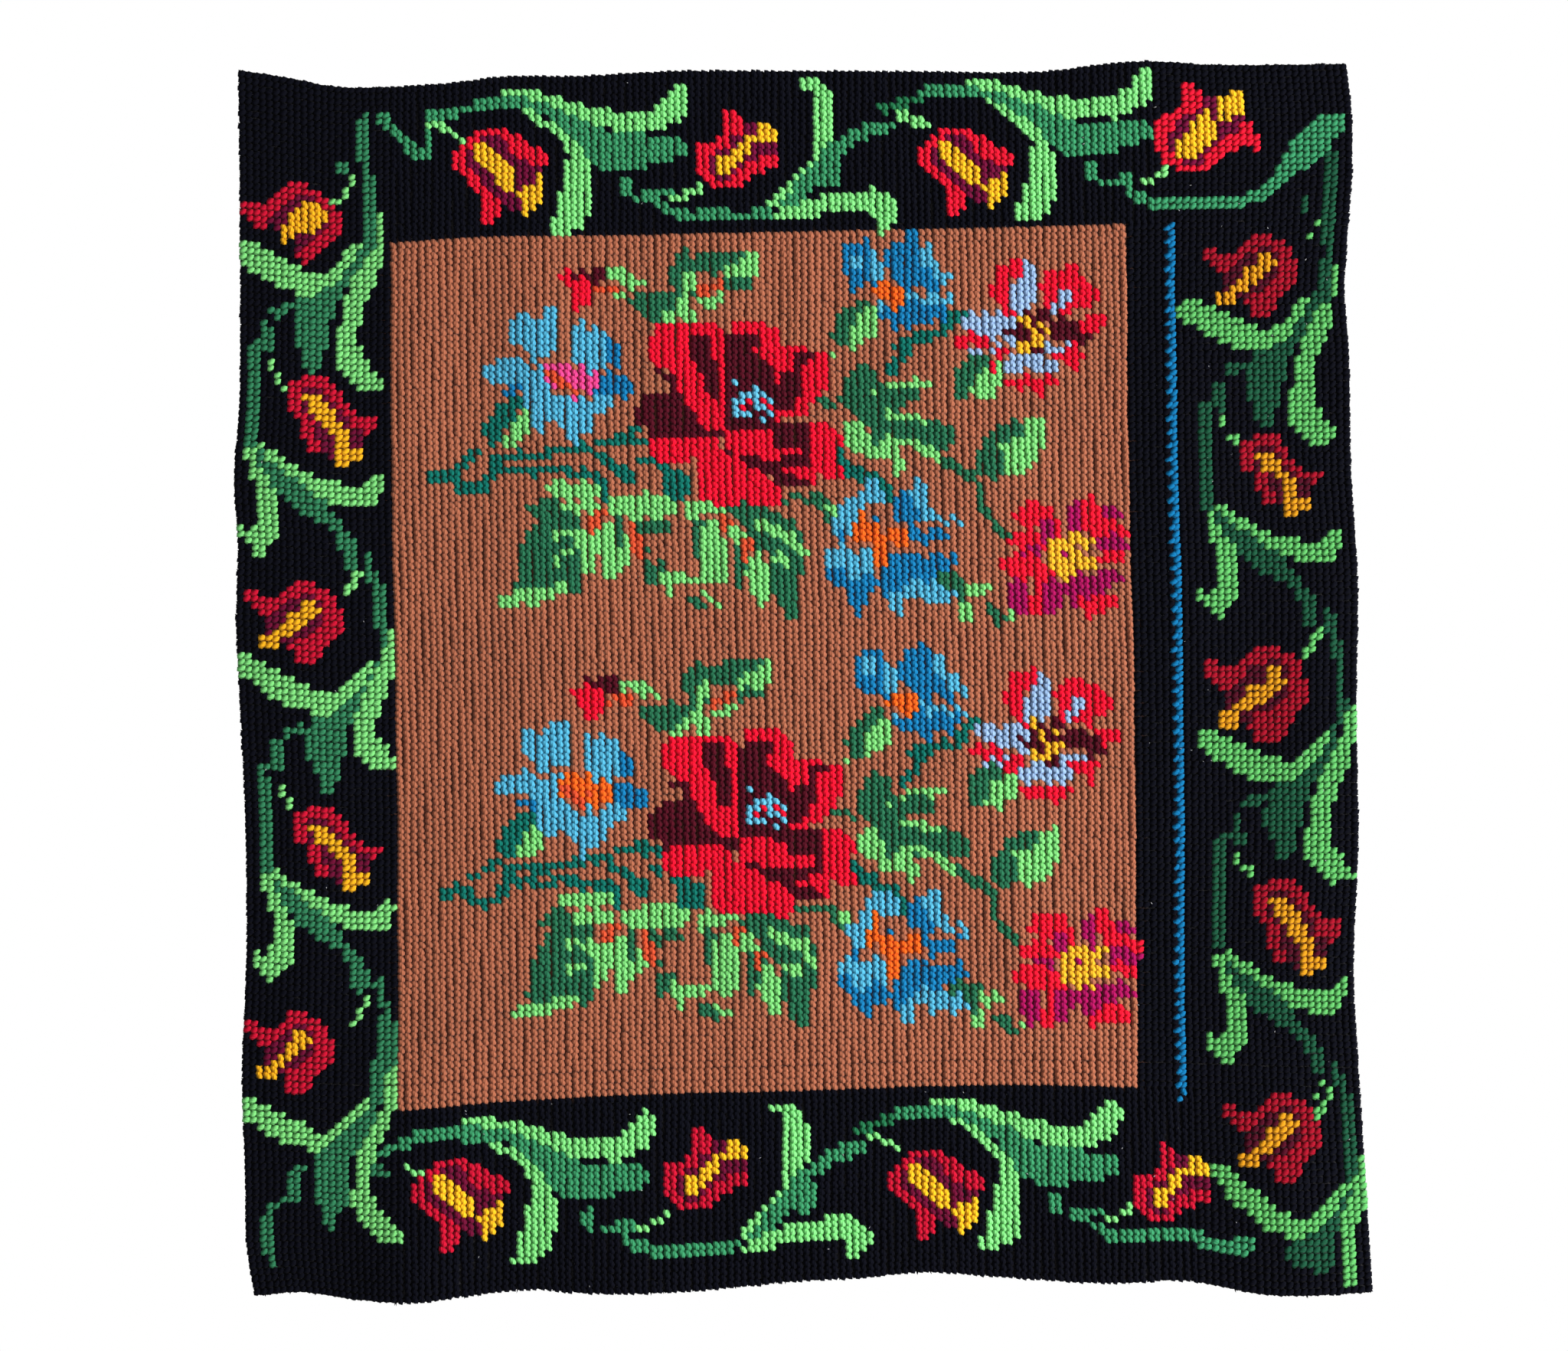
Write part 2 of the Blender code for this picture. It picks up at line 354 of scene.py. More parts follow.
CORNER_CUP = """
....RR.........
....RRR....GG..
....RRRWWGGGG..
....RRRWWGGGG..
...RRRWGWGGGG..
.RRRWWGGWGGWW..
RRRWWGGGGWWWRR.
RRWWGGGGGWRRRRR
RRWGGGGGWRRRRRR
RRWGGGGWRRRR..R
.RRGGGWRRR.....
.RRRWWWRR......
...RRRRR.......
"""
UPPER_CUP = """
.......RRR.....
......RRRRRR...
.....RRRWWWRR..
....RRRWWGGGRR.
RRRRRRWWGGGGGRR
RRRRRWWGGGGGGRR
.RRRWWWGGGGGWRR
..RR.WGGGGGWRRR
......GGWWWRRR.
......G.WWRRR..
........WRRR...
........RRR....
.........R.....
"""
LOWER_CUP = """
..RRRR.......
RRRRRRR......
RRWWWRRR.....
RRGGGWRR.....
RRWGGGWRR....
RRWGGGGWRR...
.RRWGGGWWRRRR
..RRWGGGWRRRR
..RRWWGGGWWR.
..RRWWWGGWW..
...RRWWGGWW..
...RRWWGGGG..
......WGGGG..
.......GG....
"""
SLANT_CUP = """
.......RRR....
......RRRRRR..
RR...RRRWWRRR.
RRRRRRWWGGWRR.
.RRRRWWWGGGRRR
..RRWWGGGGWRRR
...WWWGGGWWRRR
...WWGGGWWRRRR
...WGGGWWRRRR.
..GGGWWRRRRR..
..GGG.RRRRR...
.......RRRR...
.......RRR....
"""
BRIGHT = {"R": "red", "W": "wine", "G": "gold"}
DEEP = {"R": "crimson", "W": "dark_wine", "G": "old_gold"}
LOW = {"R": "crimson", "W": "dark_wine", "G": "gold"}
# The tulips down the right side take the darker copies of the wools, as painted shade.
SHADED_RIGHT = {"R": "far_crimson", "W": "far_wine", "G": "far_gold"}
Motif = namedtuple("Motif", "chart column row columns_wide rows_high wools gold_upright")
TULIPS = [
    Motif(LEFT_CUP, 31, 8, 14, 15, BRIGHT, True),
    Motif(SMALL_CUP, 66, 6, 12, 12, BRIGHT, True),
    Motif(LEFT_CUP, 98, 9, 14, 14, BRIGHT, True),
    Motif(CORNER_CUP, 132, 3, 15, 14, BRIGHT, True),
    Motif(UPPER_CUP, 0, 16, 15, 13, DEEP, True),
    Motif(LOWER_CUP, 7, 46, 13, 14, DEEP, False),
    Motif(SLANT_CUP, 1, 78, 14, 13, DEEP, False),
    Motif(LOWER_CUP, 7, 113, 13, 13, DEEP, False),
    Motif(SLANT_CUP, 0, 145, 13, 13, DEEP, True),
    Motif(SLANT_CUP, 139, 27, 14, 13, SHADED_RIGHT, True),
    Motif(LOWER_CUP, 144, 58, 12, 13, SHADED_RIGHT, False),
    Motif(SLANT_CUP, 138, 91, 15, 15, SHADED_RIGHT, False),
    Motif(LOWER_CUP, 145, 127, 13, 15, SHADED_RIGHT, False),
    Motif(SLANT_CUP, 140, 160, 14, 13, SHADED_RIGHT, False),
    Motif(LEFT_CUP, 24, 168, 14, 14, LOW, True),
    Motif(SMALL_CUP, 60, 165, 12, 12, LOW, True),
    Motif(LEFT_CUP, 92, 170, 14, 14, LOW, True),
    Motif(SMALL_CUP, 127, 168, 11, 12, LOW, True),
]
# Above and below the field the ribs go on to the right of it, up to these columns.
UPRIGHT_UNTIL = (132, 136)
GAP_ROW = 156
GAP_ROWS_HIGH = 0.12
# Where a strand's value depends on how it is worked, the first is for upright ribs.
UPPER_TILT_DEG = (-58, 36)
UPPER_LENGTH = (9.2 * MM, 9.0 * MM)
UPPER_HALF_WIDTH = (2.5 * MM, 2.6 * MM)
UPPER_HALF_HEIGHT = 1.45 * MM
UPPER_LIFT_MM = 2.8
LOWER_TILT_DEG = (40, -40)
LOWER_LENGTH = 9.2 * MM
LOWER_HALF_WIDTH = 3.0 * MM
LOWER_HALF_HEIGHT = 0.9 * MM
LOWER_LIFT = 2.1 * MM
BAR_ROWS = 3
BAR_HALF_WIDTH = 3.1 * MM
BAR_HALF_HEIGHT = 0.55 * MM
BAR_LIFT = 0.65 * MM
LEAST_HEIGHT = 0.05 * MM
# How far a strand's two tips lie over its middle line, as a share of its half height.
TIP_OUT = -0.6
# How much things wander from stitch to stitch, as one standard deviation: the place across and
# down in stitches, the upper strand's tilt in degrees, its length, half width and half height as
# shares, its lift in millimetres, and the lower strand's tilt in degrees.
WANDER = np.array([0.04, 0.045, 5, 0.06, 0.04, 0.05, 0.08, 4])
BAR_WANDER = 0.05
RIB_SWAY = 0.09
RIB_SWAY_PER_ROW = 0.23
# How much of a strand's shade is its own, and how much it shares with its column.
OWN_SHARE = 0.55
COLUMN_SHARE = 0.45
WOOL_ROUGHNESS = 0.85
WOOL_SHEEN = 0.02
SHEEN_ROUGHNESS = 0.5
GLOSS_FOR_SHEEN = 5
PLY_SCALE = 0.2
FIBRE_SCALE = 900.0
PATCH_SCALE = 9.0
WOOL_RELIEF = 0.5 * MM
WOOL_RELIEF_SHARE = 0.55
STRAND_SHADE = 0.34
PATCH_SHADE = 0.4
FIBRE_SHADE = 0.3
EVEN_SHADE = 0.83
# Painted shade: every strand is drawn darker by a fixed share, plus this times the square of its
# distance aside in millimetres, so its edges and the grooves look shaded.
PAINTED_GROOVE_SHADOW = 0.26
PAINTED_GROOVE_SHADOW_BY_MM2 = 0.095

rng = np.random.default_rng(1986)
middle_column, middle_row = np.meshgrid(np.arange(COLUMNS) + 0.5, np.arange(ROWS) + 0.5)
in_field = within_field(middle_column, middle_row)
upright = in_field | (
    (middle_column > FIELD_COLUMNS[0])
    & (middle_column < np.where(middle_row < FIELD_ROWS[0], *UPRIGHT_UNTIL))
    & ((middle_row < FIELD_ROWS[0]) | (middle_row > FIELD_ROWS[1]))
)
bare = np.ones((ROWS, COLUMNS), dtype=bool)
rib_phase = rng.uniform(0, 2 * np.pi, COLUMNS)
rib_shade = rng.uniform(0, 1, COLUMNS)


def empty_plan():
    """A plan names the wool of each stitch, and starts with none."""
    return np.full((ROWS, COLUMNS), "", dtype="U16")


def stamp(plan, motif):
    """Marks a chart's stitches. Each row and column of the copy takes the one at the same share
    of the chart, so a stretched motif repeats one here and there."""
    chart = motif.chart.split()
    for row in range(motif.rows_high):
        line = chart[int((row + 0.5) * len(chart) / motif.rows_high)]
        for column in range(motif.columns_wide):
            letter = line[int((column + 0.5) * len(line) / motif.columns_wide)]
            if letter in motif.wools:
                plan[motif.row + row, motif.column + column] = motif.wools[letter]
                if letter == "G" and motif.gold_upright:
                    upright[motif.row + row, motif.column + column] = True


def linear(colour):
    """A colour read from 0 to 255, as the light that it sends back: the usual curve, a
    straight line near black and a power of 2.4 above it."""
    share = np.array(colour) / 255
    return tuple(np.where(share < 0.04045, share / 12.92, ((share + 0.055) / 1.055) ** 2.4))


def wool(name, colour, sheen=WOOL_SHEEN):
    """Soft spun wool: each strand is its own shade lighter or darker. It is also painted darker by
    the square of the distance from its middle line, a painted shade that makes its edges and the
    grooves between strands look shaded. Two plies twist along it as slanting waves, fine noise
    stands for its fibres, and loose hair gives a sheen."""
    material, tree, shader = matt_material(name, WOOL_ROUGHNESS)
    place = add_node(tree, "TexCoord", {}).outputs["Object"]
    strand = add_node(tree, "Attribute", {})
    strand.attribute_name = "lie"
    lie = strand.outputs["Vector"]
    aside, _, own_shade = add_node(tree, "SeparateXYZ", {"Vector": lie}).outputs
    plies = add_node(tree, "TexWave", {
        "Scale": PLY_SCALE, "Distortion": 1.2, "Detail": 1.0, "Vector": lie,
    })
    plies.bands_direction = "DIAGONAL"
    noises = [
        add_node(tree, "TexNoise", {"Scale": scale, "Detail": detail, "Vector": place})
        for scale, detail in ((FIBRE_SCALE, 4.0), (PATCH_SCALE, 2.0))
    ]
    fibres, patches = [noise.outputs["Fac"] for noise in noises]
    light = worked_out(tree, "MULTIPLY_ADD", own_shade, STRAND_SHADE, EVEN_SHADE)
    light = worked_out(tree, "MULTIPLY_ADD", patches, PATCH_SHADE, light)
    light = worked_out(tree, "MULTIPLY_ADD", fibres, FIBRE_SHADE, light)
    # Painted shade: darker by the square of the distance aside, so the strand's edges and the
    # grooves between strands look shaded.
    square = worked_out(tree, "MULTIPLY", aside, aside)
    shadow = worked_out(tree, "MULTIPLY_ADD", square, PAINTED_GROOVE_SHADOW_BY_MM2, PAINTED_GROOVE_SHADOW)
    brightness = worked_out(tree, "SUBTRACT", light, shadow)
    brightness.node.use_clamp = True
    tint = add_node(tree, "VectorMath", {})
    tint.operation = "SCALE"
    tint.inputs[0].default_value = colour
    tree.links.new(brightness, tint.inputs["Scale"])
    bump = add_node(tree, "Bump", {
        "Strength": WOOL_RELIEF_SHARE,
        "Distance": WOOL_RELIEF,
        "Height": worked_out(tree, "ADD", plies.outputs["Fac"], fibres),
    })
    tree.links.new(tint.outputs["Vector"], shader.inputs["Base Color"])
    tree.links.new(bump.outputs["Normal"], shader.inputs["Normal"])
    shader.inputs["Specular IOR Level"].default_value = GLOSS_FOR_SHEEN * sheen
    shader.inputs["Sheen Weight"].default_value = sheen
    shader.inputs["Sheen Roughness"].default_value = SHEEN_ROUGHNESS
    return material


def strand_form(sides, rings):
    """A closed spindle: two points at its ends and round rings between them. Gives each point's
    place along, aside and out, and the triangles, all facing outwards."""
    turn = np.pi / 2 + np.arange(sides) * 2 * np.pi / sides
    ring = np.stack([np.cos(turn), np.sin(turn)], axis=-1)
    along = np.repeat(rings, sides)
    aside, out = np.tile(ring, (len(rings), 1)).T
    form = np.stack([
        np.concatenate([[-1.0], along, [1.0]]),
        np.concatenate([[0.0], aside, [0.0]]),
        np.concatenate([[TIP_OUT], out, [TIP_OUT]]),
    ], axis=-1)
    here = np.arange(sides)
    following = np.roll(here, -1)
    last = 1 + sides * (len(rings) - 1)
    end = len(form) - 1
    triangles = [np.stack([np.zeros(sides), 1 + following, 1 + here], axis=-1)]
    for start in range(1, last, sides):
        ahead = start + sides
        triangles.append(np.stack([start + here, start + following, ahead + following], axis=-1))
        triangles.append(np.stack([start + here, ahead + following, ahead + here], axis=-1))
    triangles.append(np.stack([np.full(sides, end), last + here, last + following], axis=-1))
    return form, np.concatenate(triangles).astype(np.int64)


PLUMP = strand_form(5, [-0.5, 0.5])
THIN = strand_form(3, [0.0])
BAR = strand_form(3, [-0.85, 0.85])


def strands(form, column, row, heading, length, half_width, half_height, lift):
    """Copies of one spindle. A point's place is the strand's middle, plus its share of the length
    along the heading, plus its share of the half width square to it. Its height is the lift plus
    its share of the half height. Also gives how each point lies in its strand, in millimetres."""
    points, triangles = form
    count = len(column)
    sizes = (heading, length, half_width, half_height, lift)
    sizes = [np.broadcast_to(size, count)[:, None] for size in sizes]
    heading, length, half_width, half_height, lift = sizes
    along = points[:, 0] * (length / 2)
    aside = points[:, 1] * half_width
    to_right = along * np.cos(heading) - aside * np.sin(heading)
    upwards = along * np.sin(heading) + aside * np.cos(heading)
    place = cloth_place(
        column[:, None] + to_right / STITCH_WIDTH,
        row[:, None] - upwards / STITCH_HEIGHT,
        np.maximum(lift + points[:, 2] * half_height, LEAST_HEIGHT),
    )
    of_column = rib_shade[np.clip(column.astype(int), 0, COLUMNS - 1)]
    own_shade = OWN_SHARE * rng.random(count) + COLUMN_SHARE * of_column
    shade = np.broadcast_to(own_shade[:, None], along.shape)
    lie = np.stack([aside / MM, along / MM, shade], axis=-1)
    starts = np.arange(count)[:, None, None] * len(points)
    return place.reshape(-1, 3), (triangles + starts).reshape(-1, 3), lie.reshape(-1, 3)


def wool_piece(name, batches, material):
    """One mesh of many strands, which keeps how each point lies in its strand."""
    points, faces, lie = zip(*batches)
    starts = np.cumsum([0] + [len(part) for part in points[:-1]])
    faces = np.concatenate([part + start for part, start in zip(faces, starts)])
    piece = mesh_piece(name, np.concatenate(points), faces, material)
    lies = piece.data.attributes.new("lie", "FLOAT_VECTOR", "POINT")
    lies.data.foreach_set("vector", np.concatenate(lie).astype(np.float32).ravel())
    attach(piece, "root")
    return piece


def crossed_stitches(column, row):
    """The strands of stitches at these columns and rows: the upper strand, the lower one across
    it, and on the back one bar for every third stitch down. The ribs sway as slow sine waves, and
    one row across sits a little low."""
    stands = upright[row, column]
    wander = rng.normal(0, 1, (len(WANDER), len(column)))
    right, down, tilt, longer, wider, higher, lifted, lower_tilt = WANDER[:, None] * wander
    sway = RIB_SWAY * np.sin(row * RIB_SWAY_PER_ROW + rib_phase[column]) * stands
    middle = column + 0.5 + sway + right
    level = row + 0.5 + down + np.where(row == GAP_ROW, GAP_ROWS_HIGH, 0.0)
    upper = strands(
        PLUMP,
        middle,
        level,
        np.radians(np.where(stands, *UPPER_TILT_DEG) + tilt),
        np.where(stands, *UPPER_LENGTH) * (1 + longer),
        np.where(stands, *UPPER_HALF_WIDTH) * (1 + wider),
        UPPER_HALF_HEIGHT * (1 + higher),
        (UPPER_LIFT_MM + lifted) * MM,
    )
    lower = strands(
        THIN,
        middle,
        level,
        np.radians(np.where(stands, *LOWER_TILT_DEG) + lower_tilt),
        LOWER_LENGTH,
        LOWER_HALF_WIDTH,
        LOWER_HALF_HEIGHT,
        LOWER_LIFT,
    )
    behind = row % BAR_ROWS == 1
    bars = strands(
        BAR,
        column[behind] + 0.5 + BAR_WANDER * wander[0][behind],
        row[behind] + 0.5,
        np.pi / 2,
        BAR_ROWS * STITCH_HEIGHT,
        -BAR_HALF_WIDTH,
        -BAR_HALF_HEIGHT,
        BAR_LIFT,
    )
    return [upper, lower, bars]


def work(part, plan, dyes, sheen=WOOL_SHEEN):
    """Works the stitches that a plan marks and that are still bare: one piece for each wool."""
    for name, colour in dyes.items():
        marked = (plan == name) & bare
        bare[marked] = False
        row, column = np.nonzero(marked)
        if len(row):
            material = wool(f"{part}_{name}_wool", linear(colour), sheen)
            wool_piece(f"{part}_{name}", crossed_stitches(column, row), material)


tulips = empty_plan()
for motif in TULIPS:
    stamp(tulips, motif)
work("tulip", tulips, TULIP_DYES)


# The trailing vine. Its scrolls and leaves run round the border between the tulips, in light,
# middle and dark green wool. The same scroll comes four times, each side has its group of leaves
# twice, and the corners have their own. The right side is worked in darker, duller copies of the
# greens, which are painted shade.
VINE_DYES = {
    "light": (122, 214, 122),
    "middle": (52, 138, 92),
    "dark": (30, 108, 68),
    "side_light": (118, 204, 116),
    "side_middle": (44, 118, 80),
    # Painted shade: the two right side greens are darker copies of the light and middle greens.
    "right_light": (88, 172, 92),
    "right_middle": (20, 76, 52),
}
# Each line of these tables is one leaf or stem: its wool, and the places that it runs through, each
# as its column, its row and half its width, all in stitches. A long line goes on, set in, below.
SCROLL = """
light 38.5 2.6 0.7, 43 3.2 1, 47 4.8 1.3, 50 6.1 1.5, 55 7.3 1.5, 60 7.6 1.7, 63 5.6 2, 64 3.6 1.5
middle 36 4 0.8, 40 3.9 0.8, 44 5 0.9, 47.5 7.2 1.2
middle 48 7.2 1.3, 50.5 10 2.3, 54 12.2 2.9, 58 12 2.6, 61.5 11.8 2, 63.6 11.6 1.4
light 41.5 5.3 0.6, 44 7 0.7, 47 9.5 0.8, 48.7 12 1.1, 49.2 15 1.9, 48.8 19 2.4, 48 22 2.4, 46 24 1
middle 56 17 1.1, 56 18.2 1.1
middle 58.3 19.2 0.9, 60 19 0.8, 62 18.7 0.6
light 63 19.6 0.6, 64.3 19.3 0.6
light 65 18.6 0.6, 66.2 18.3 0.6, 67 17.4 0.5
middle 61 20.6 0.6, 62.5 21.6 0.8, 65 22.4 0.95, 76.5 22.4 0.95
"""
UPRIGHT_LEAVES = """
light 81.4 1.9 0.6, 83.8 2.4 1.1, 84.5 5 1.8, 84.6 9 1.9, 84 12 1.3, 83.2 14.5 0.6
middle 85.5 13 1.6, 85.6 16.2 1.9
middle 87 12 0.9, 89 10.2 1.1, 91.5 8.8 1.3, 94.3 8.4 0.8
dark 93 5.8 0.8, 94.6 5.6 0.8, 96 4.8 0.8, 98 4.4 0.9
middle 99 3.4 0.9, 105 3.2 0.9, 110 3.5 0.9
light 95.3 7 0.6, 96.5 6.9 0.6
light 97.5 7.9 0.6, 98.5 8 0.6, 99.3 9 0.5
light 77 20.8 0.7, 79 18.5 0.8, 81.3 16 0.8, 82.3 15 0.7
middle 79 21.2 1, 80.8 19 1.3, 83 16.8 1.4, 84.5 15 1.5
light 78 22.6 0.9, 81 21.8 1.2, 84 20.9 1.5, 88 20.6 1.5, 91.5 20.2 1.8, 93.6 22 1.9, 93.4 24 1.2,
    92.6 25.2 0.7
"""
SIDE_LEAVES = """
middle 17.8 25.6 0.9, 16.2 28.6 1.5, 14 31 2, 12 33.4 2.5, 10.6 36.4 2.8, 10.3 39.4 2.7,
    10.4 42 1.9, 10.5 44.8 1
light -0.5 27 1.7, 1.5 28.2 2, 4 29.7 2.2, 7 31.1 2.2, 10 32 1.8, 13 30.8 1.1, 15.5 28 0.9,
    17 25.6 0.7
middle 5.2 36.8 0.9, 7.2 35.8 0.7
middle 3.6 38.8 0.9, 3.8 41 0.9, 4.2 42.8 0.6
middle 1.5 42.4 0.8, 2.6 42 0.6
"""
SIDE_DROP = """
light 20.7 21 0.6, 20.4 25 0.9, 19.4 28.5 1.4, 17.8 31.5 1.7, 16.7 34.5 1.5, 16 38 1.5, 15.6 41 1.8,
    16.3 44 2.3, 18.2 46.2 2, 20.2 46.8 1
"""
SIDE_STEM = """
middle 2 43.8 0.9, 2.2 48 0.95, 2 53 0.95, 2.1 58.5 0.95
"""
SIDE_DOTS = """
light 4.5 44.2 0.6, 4.6 45.2 0.6
light 5.7 46.2 0.6, 5.9 47.2 0.6
light 6.8 48.4 0.5
"""
SIDE_CURL = """
middle 3.6 59 1, 5.8 62 1.6, 8.3 64.2 2, 10.8 66.4 2, 12.3 67.6 1.2, 13.8 69 0.9, 15 71 1.1,
    15.8 72.8 1.3, 15.8 75 1
light 2.1 58.6 0.8, 2.6 61 0.9, 4.2 64 1.3, 4.8 67.5 1.5, 4.4 70.5 1.9, 2.8 72.4 1.6, 3 74 0.8
light 0.4 70.2 0.6, 0.8 71.6 0.9, 2.5 72 1.2
light 3.4 57.2 0.6, 4.6 58.8 0.7, 7 60.2 0.8, 9 61.6 0.9, 11 62.8 1.1, 13 63.8 1.5, 16 64.5 1.8,
    18.4 64.4 1.8, 19.8 62.7 1.1, 20.1 61.4 0.6
middle 18.4 74.2 0.9, 18.6 75.4 0.8
middle 18.8 76.4 0.7, 19.8 78.6 0.8, 20.3 82 0.9, 20.5 90 0.9
light 17 76.5 0.6, 16.8 77.5 0.6
light 16 78.5 0.6, 15.8 79.5 0.6
light 15 80.4 0.5
"""
VINE_ENDS = """
middle 20.9 4.8 0.9, 22 6.6 0.9, 24 8.6 0.9, 26.5 11.4 0.95
middle 27.6 10.8 0.9, 27.6 5.4 0.9
middle 28 4.8 0.8, 31 4.8 0.8, 36 4 0.8
light 27.5 6.6 0.6, 29 6.6 0.6, 30.4 7.4 0.6
light 31.5 8.4 0.6, 32.6 9.3 0.5
side_middle 18.3 5.4 0.95, 18.4 13 0.9, 18.8 16 0.9, 19.2 20 0.9, 18.6 26 1
side_middle 15 12.8 1, 15 13.6 0.9
side_light 16.5 14.6 0.6, 16.4 15.6 0.6
side_light 15.6 16.6 0.6, 15.5 17.6 0.6
side_light 13.6 18.6 0.5, 14.4 18.6 0.5
side_light 21.6 86 0.6, 21.3 89 0.9, 20.2 92.5 1.4, 19 95.5 1.6, 18 98.5 1.5, 17.6 101.4 1.5,
    18.2 103.6 2, 19.8 105.4 1.8, 21 106 1
middle 143.5 22 1, 147 20.8 0.9, 149.4 18.4 1.1, 151.8 15.6 1.9, 154.2 12.6 2.4, 156.6 10.2 2.1,
    158.2 9.2 1.3
right_middle 156.6 14.5 1, 157 24 0.95, 157.5 30 0.95, 157.2 37 1
right_middle 153.5 22.4 1, 153.5 23.4 1
right_light 155.1 25 0.6, 155.1 26 0.6
right_light 154.1 27 0.6, 154.1 28 0.6
right_light 153 28.8 0.5
middle 18.8 166.4 0.6, 20.5 166 0.7, 22 165.4 0.9, 23.6 165.2 0.8, 24.8 163.6 0.8
middle 26.3 164.4 0.9, 29 164.3 0.9, 32 164.8 0.9, 36 165.5 0.9
side_middle 19 169 0.8, 20 169.8 0.8
light 21.3 168 0.5, 22.3 168 0.5
light 23.5 168.8 0.5, 24.3 169 0.5, 25.3 169.7 0.5
side_middle 19.6 145.5 0.9, 20.3 148 0.8, 19.6 150 0.9, 19 155 0.9, 18.6 159 0.9, 17.3 162 1.1,
    15.5 164.5 1.7, 13.5 166.5 2, 12.5 168 2.6, 12.6 171 2.8, 12.5 174 2.2, 12.3 176 1.2,
    12.3 178 0.8
side_light -0.5 160 1.5, 2.5 162 1.8, 5 163.3 2, 8 164.3 1.9, 10.5 165.3 1.4, 12 164.3 0.9,
    14 162.3 0.9, 16 160.3 0.9, 17.3 159 0.7
side_light 21.2 153.5 0.6, 21 157 0.8, 20.5 160 1, 19.5 162.5 1.3, 18.3 165 1.3, 17.3 168 1.2,
    17.2 171 1.2, 16.8 173.5 1.6, 18 176 2, 20 178.3 1.8, 22 178.8 1
side_middle 8 169.5 0.9, 7 171 0.9, 7 174.5 0.9
side_middle 5.4 174.6 0.5, 3.5 176 0.8, 3.1 180 0.95, 3.6 184 0.95
middle 136.5 183 0.9, 139.5 183.4 0.9, 141 183 0.9, 142.4 182.2 1.3, 143.2 181.8 1.3
right_middle 156.6 157.4 0.9, 156.8 158.6 0.8
right_middle 157.4 160 0.8, 158 163 0.9, 158.2 170 0.95, 158 174 1, 156 176.5 1.4, 154.3 178.8 1.8,
    152 181.2 2.2, 150.4 183 2.2
right_middle 153 183.5 2.2, 148.5 183.3 0.9
right_light 155.3 159.6 0.5, 155.3 160.5 0.5
right_light 154.4 161.6 0.5, 154.4 162.4 0.5, 153.4 163.2 0.5
right_light 139 171.6 1, 140.5 173.2 1.6, 143 175.6 1.8, 146 177.8 1.8, 149 179.4 1.5, 151 179.6 1,
    153 177.8 0.9, 155 175.8 0.9, 157 173.4 0.8
right_light 159.5 169.5 0.6, 159.5 172 1, 159.3 174.5 1.6, 158.3 176.5 1.4, 157 179 1.3,
    156.7 182 1.2, 156.8 185 1.2, 157.2 187.4 0.9
"""
Repeat = namedtuple("Repeat", "leaves columns rows side")
VINE = [
    Repeat(SCROLL, 0, 0, ""),
    Repeat(UPRIGHT_LEAVES, 0, 0, ""),
    Repeat(SCROLL, 67, -0.7, ""),
    Repeat(SCROLL, -6.6, 160.3, ""),
    Repeat(UPRIGHT_LEAVES, -5.7, 160.6, ""),
    Repeat(SCROLL, 60.3, 159.9, ""),
    Repeat(SIDE_LEAVES, 0, 0, "side_"),
    Repeat(SIDE_DROP, 0, 0, "side_"),
    Repeat(SIDE_STEM, 0, 0, "side_"),
    Repeat(SIDE_DOTS, 0, 0, "side_"),
    Repeat(SIDE_CURL, 0, 0, "side_"),
    Repeat(SIDE_LEAVES, 1.6, 65, "side_"),
    Repeat(SIDE_STEM, 0.8, 65.4, "side_"),
    Repeat(SIDE_DOTS, 1.0, 66, "side_"),
    Repeat(SIDE_CURL, 0.7, 66, "side_"),
    # The right side's leaves take the darker right side greens, which are painted shade.
    Repeat(SIDE_LEAVES, 137.3, 11.6, "right_"),
    Repeat(SIDE_DROP, 137.3, 11.6, "right_"),
    Repeat(SIDE_STEM, 137.1, 11, "right_"),
    Repeat(SIDE_DOTS, 137.3, 11.8, "right_"),
    Repeat(SIDE_CURL, 137.2, 12, "right_"),
    Repeat(SIDE_LEAVES, 138.8, 78.6, "right_"),
    Repeat(SIDE_DROP, 138.4, 79.4, "right_"),
    Repeat(SIDE_STEM, 138, 78.4, "right_"),
    Repeat(SIDE_DOTS, 138.2, 79.2, "right_"),
    Repeat(SIDE_CURL, 138, 81.4, "right_"),
]
uneven = rng.uniform(-1, 1, COLUMNS)


def lines_of(table):
    """Reads a table. A word is a wool and starts a line, and the numbers after it, three by
    three, are the places of that line."""
    lines = []
    for word in table.replace(",", " ").split():
        if word[0].isalpha():
            lines.append((word, []))
        else:
            lines[-1][1].append(float(word))
    return [(wool_name, np.reshape(numbers, (-1, 3))) for wool_name, numbers in lines]


def trail(plan, wool_name, places, columns=0.0, rows=0.0, ragged=0.0):
    """Marks each stitch whose middle is nearer to a line than its half width. The line runs
    straight from place to place, and its half width changes evenly. A ragged one is moved up or
    down by its own share in each column."""
    column, row, half_width = places.T
    at = np.linspace(0, len(places) - 1, 10 * len(places))
    along = np.arange(len(places))
    aside = middle_column[..., None] - (np.interp(at, along, column) + columns)
    down = (middle_row + ragged * uneven)[..., None] - (np.interp(at, along, row) + rows)
    near = np.hypot(aside, down) <= np.interp(at, along, half_width)
    plan[near.any(axis=-1)] = wool_name


vine = empty_plan()
for leaves, columns, rows, side in VINE:
    for shade_name, places in lines_of(leaves):
        trail(vine, side + shade_name, places, columns, rows)
for shade_name, places in lines_of(VINE_ENDS):
    trail(vine, shade_name, places)
work("vine", vine, VINE_DYES)


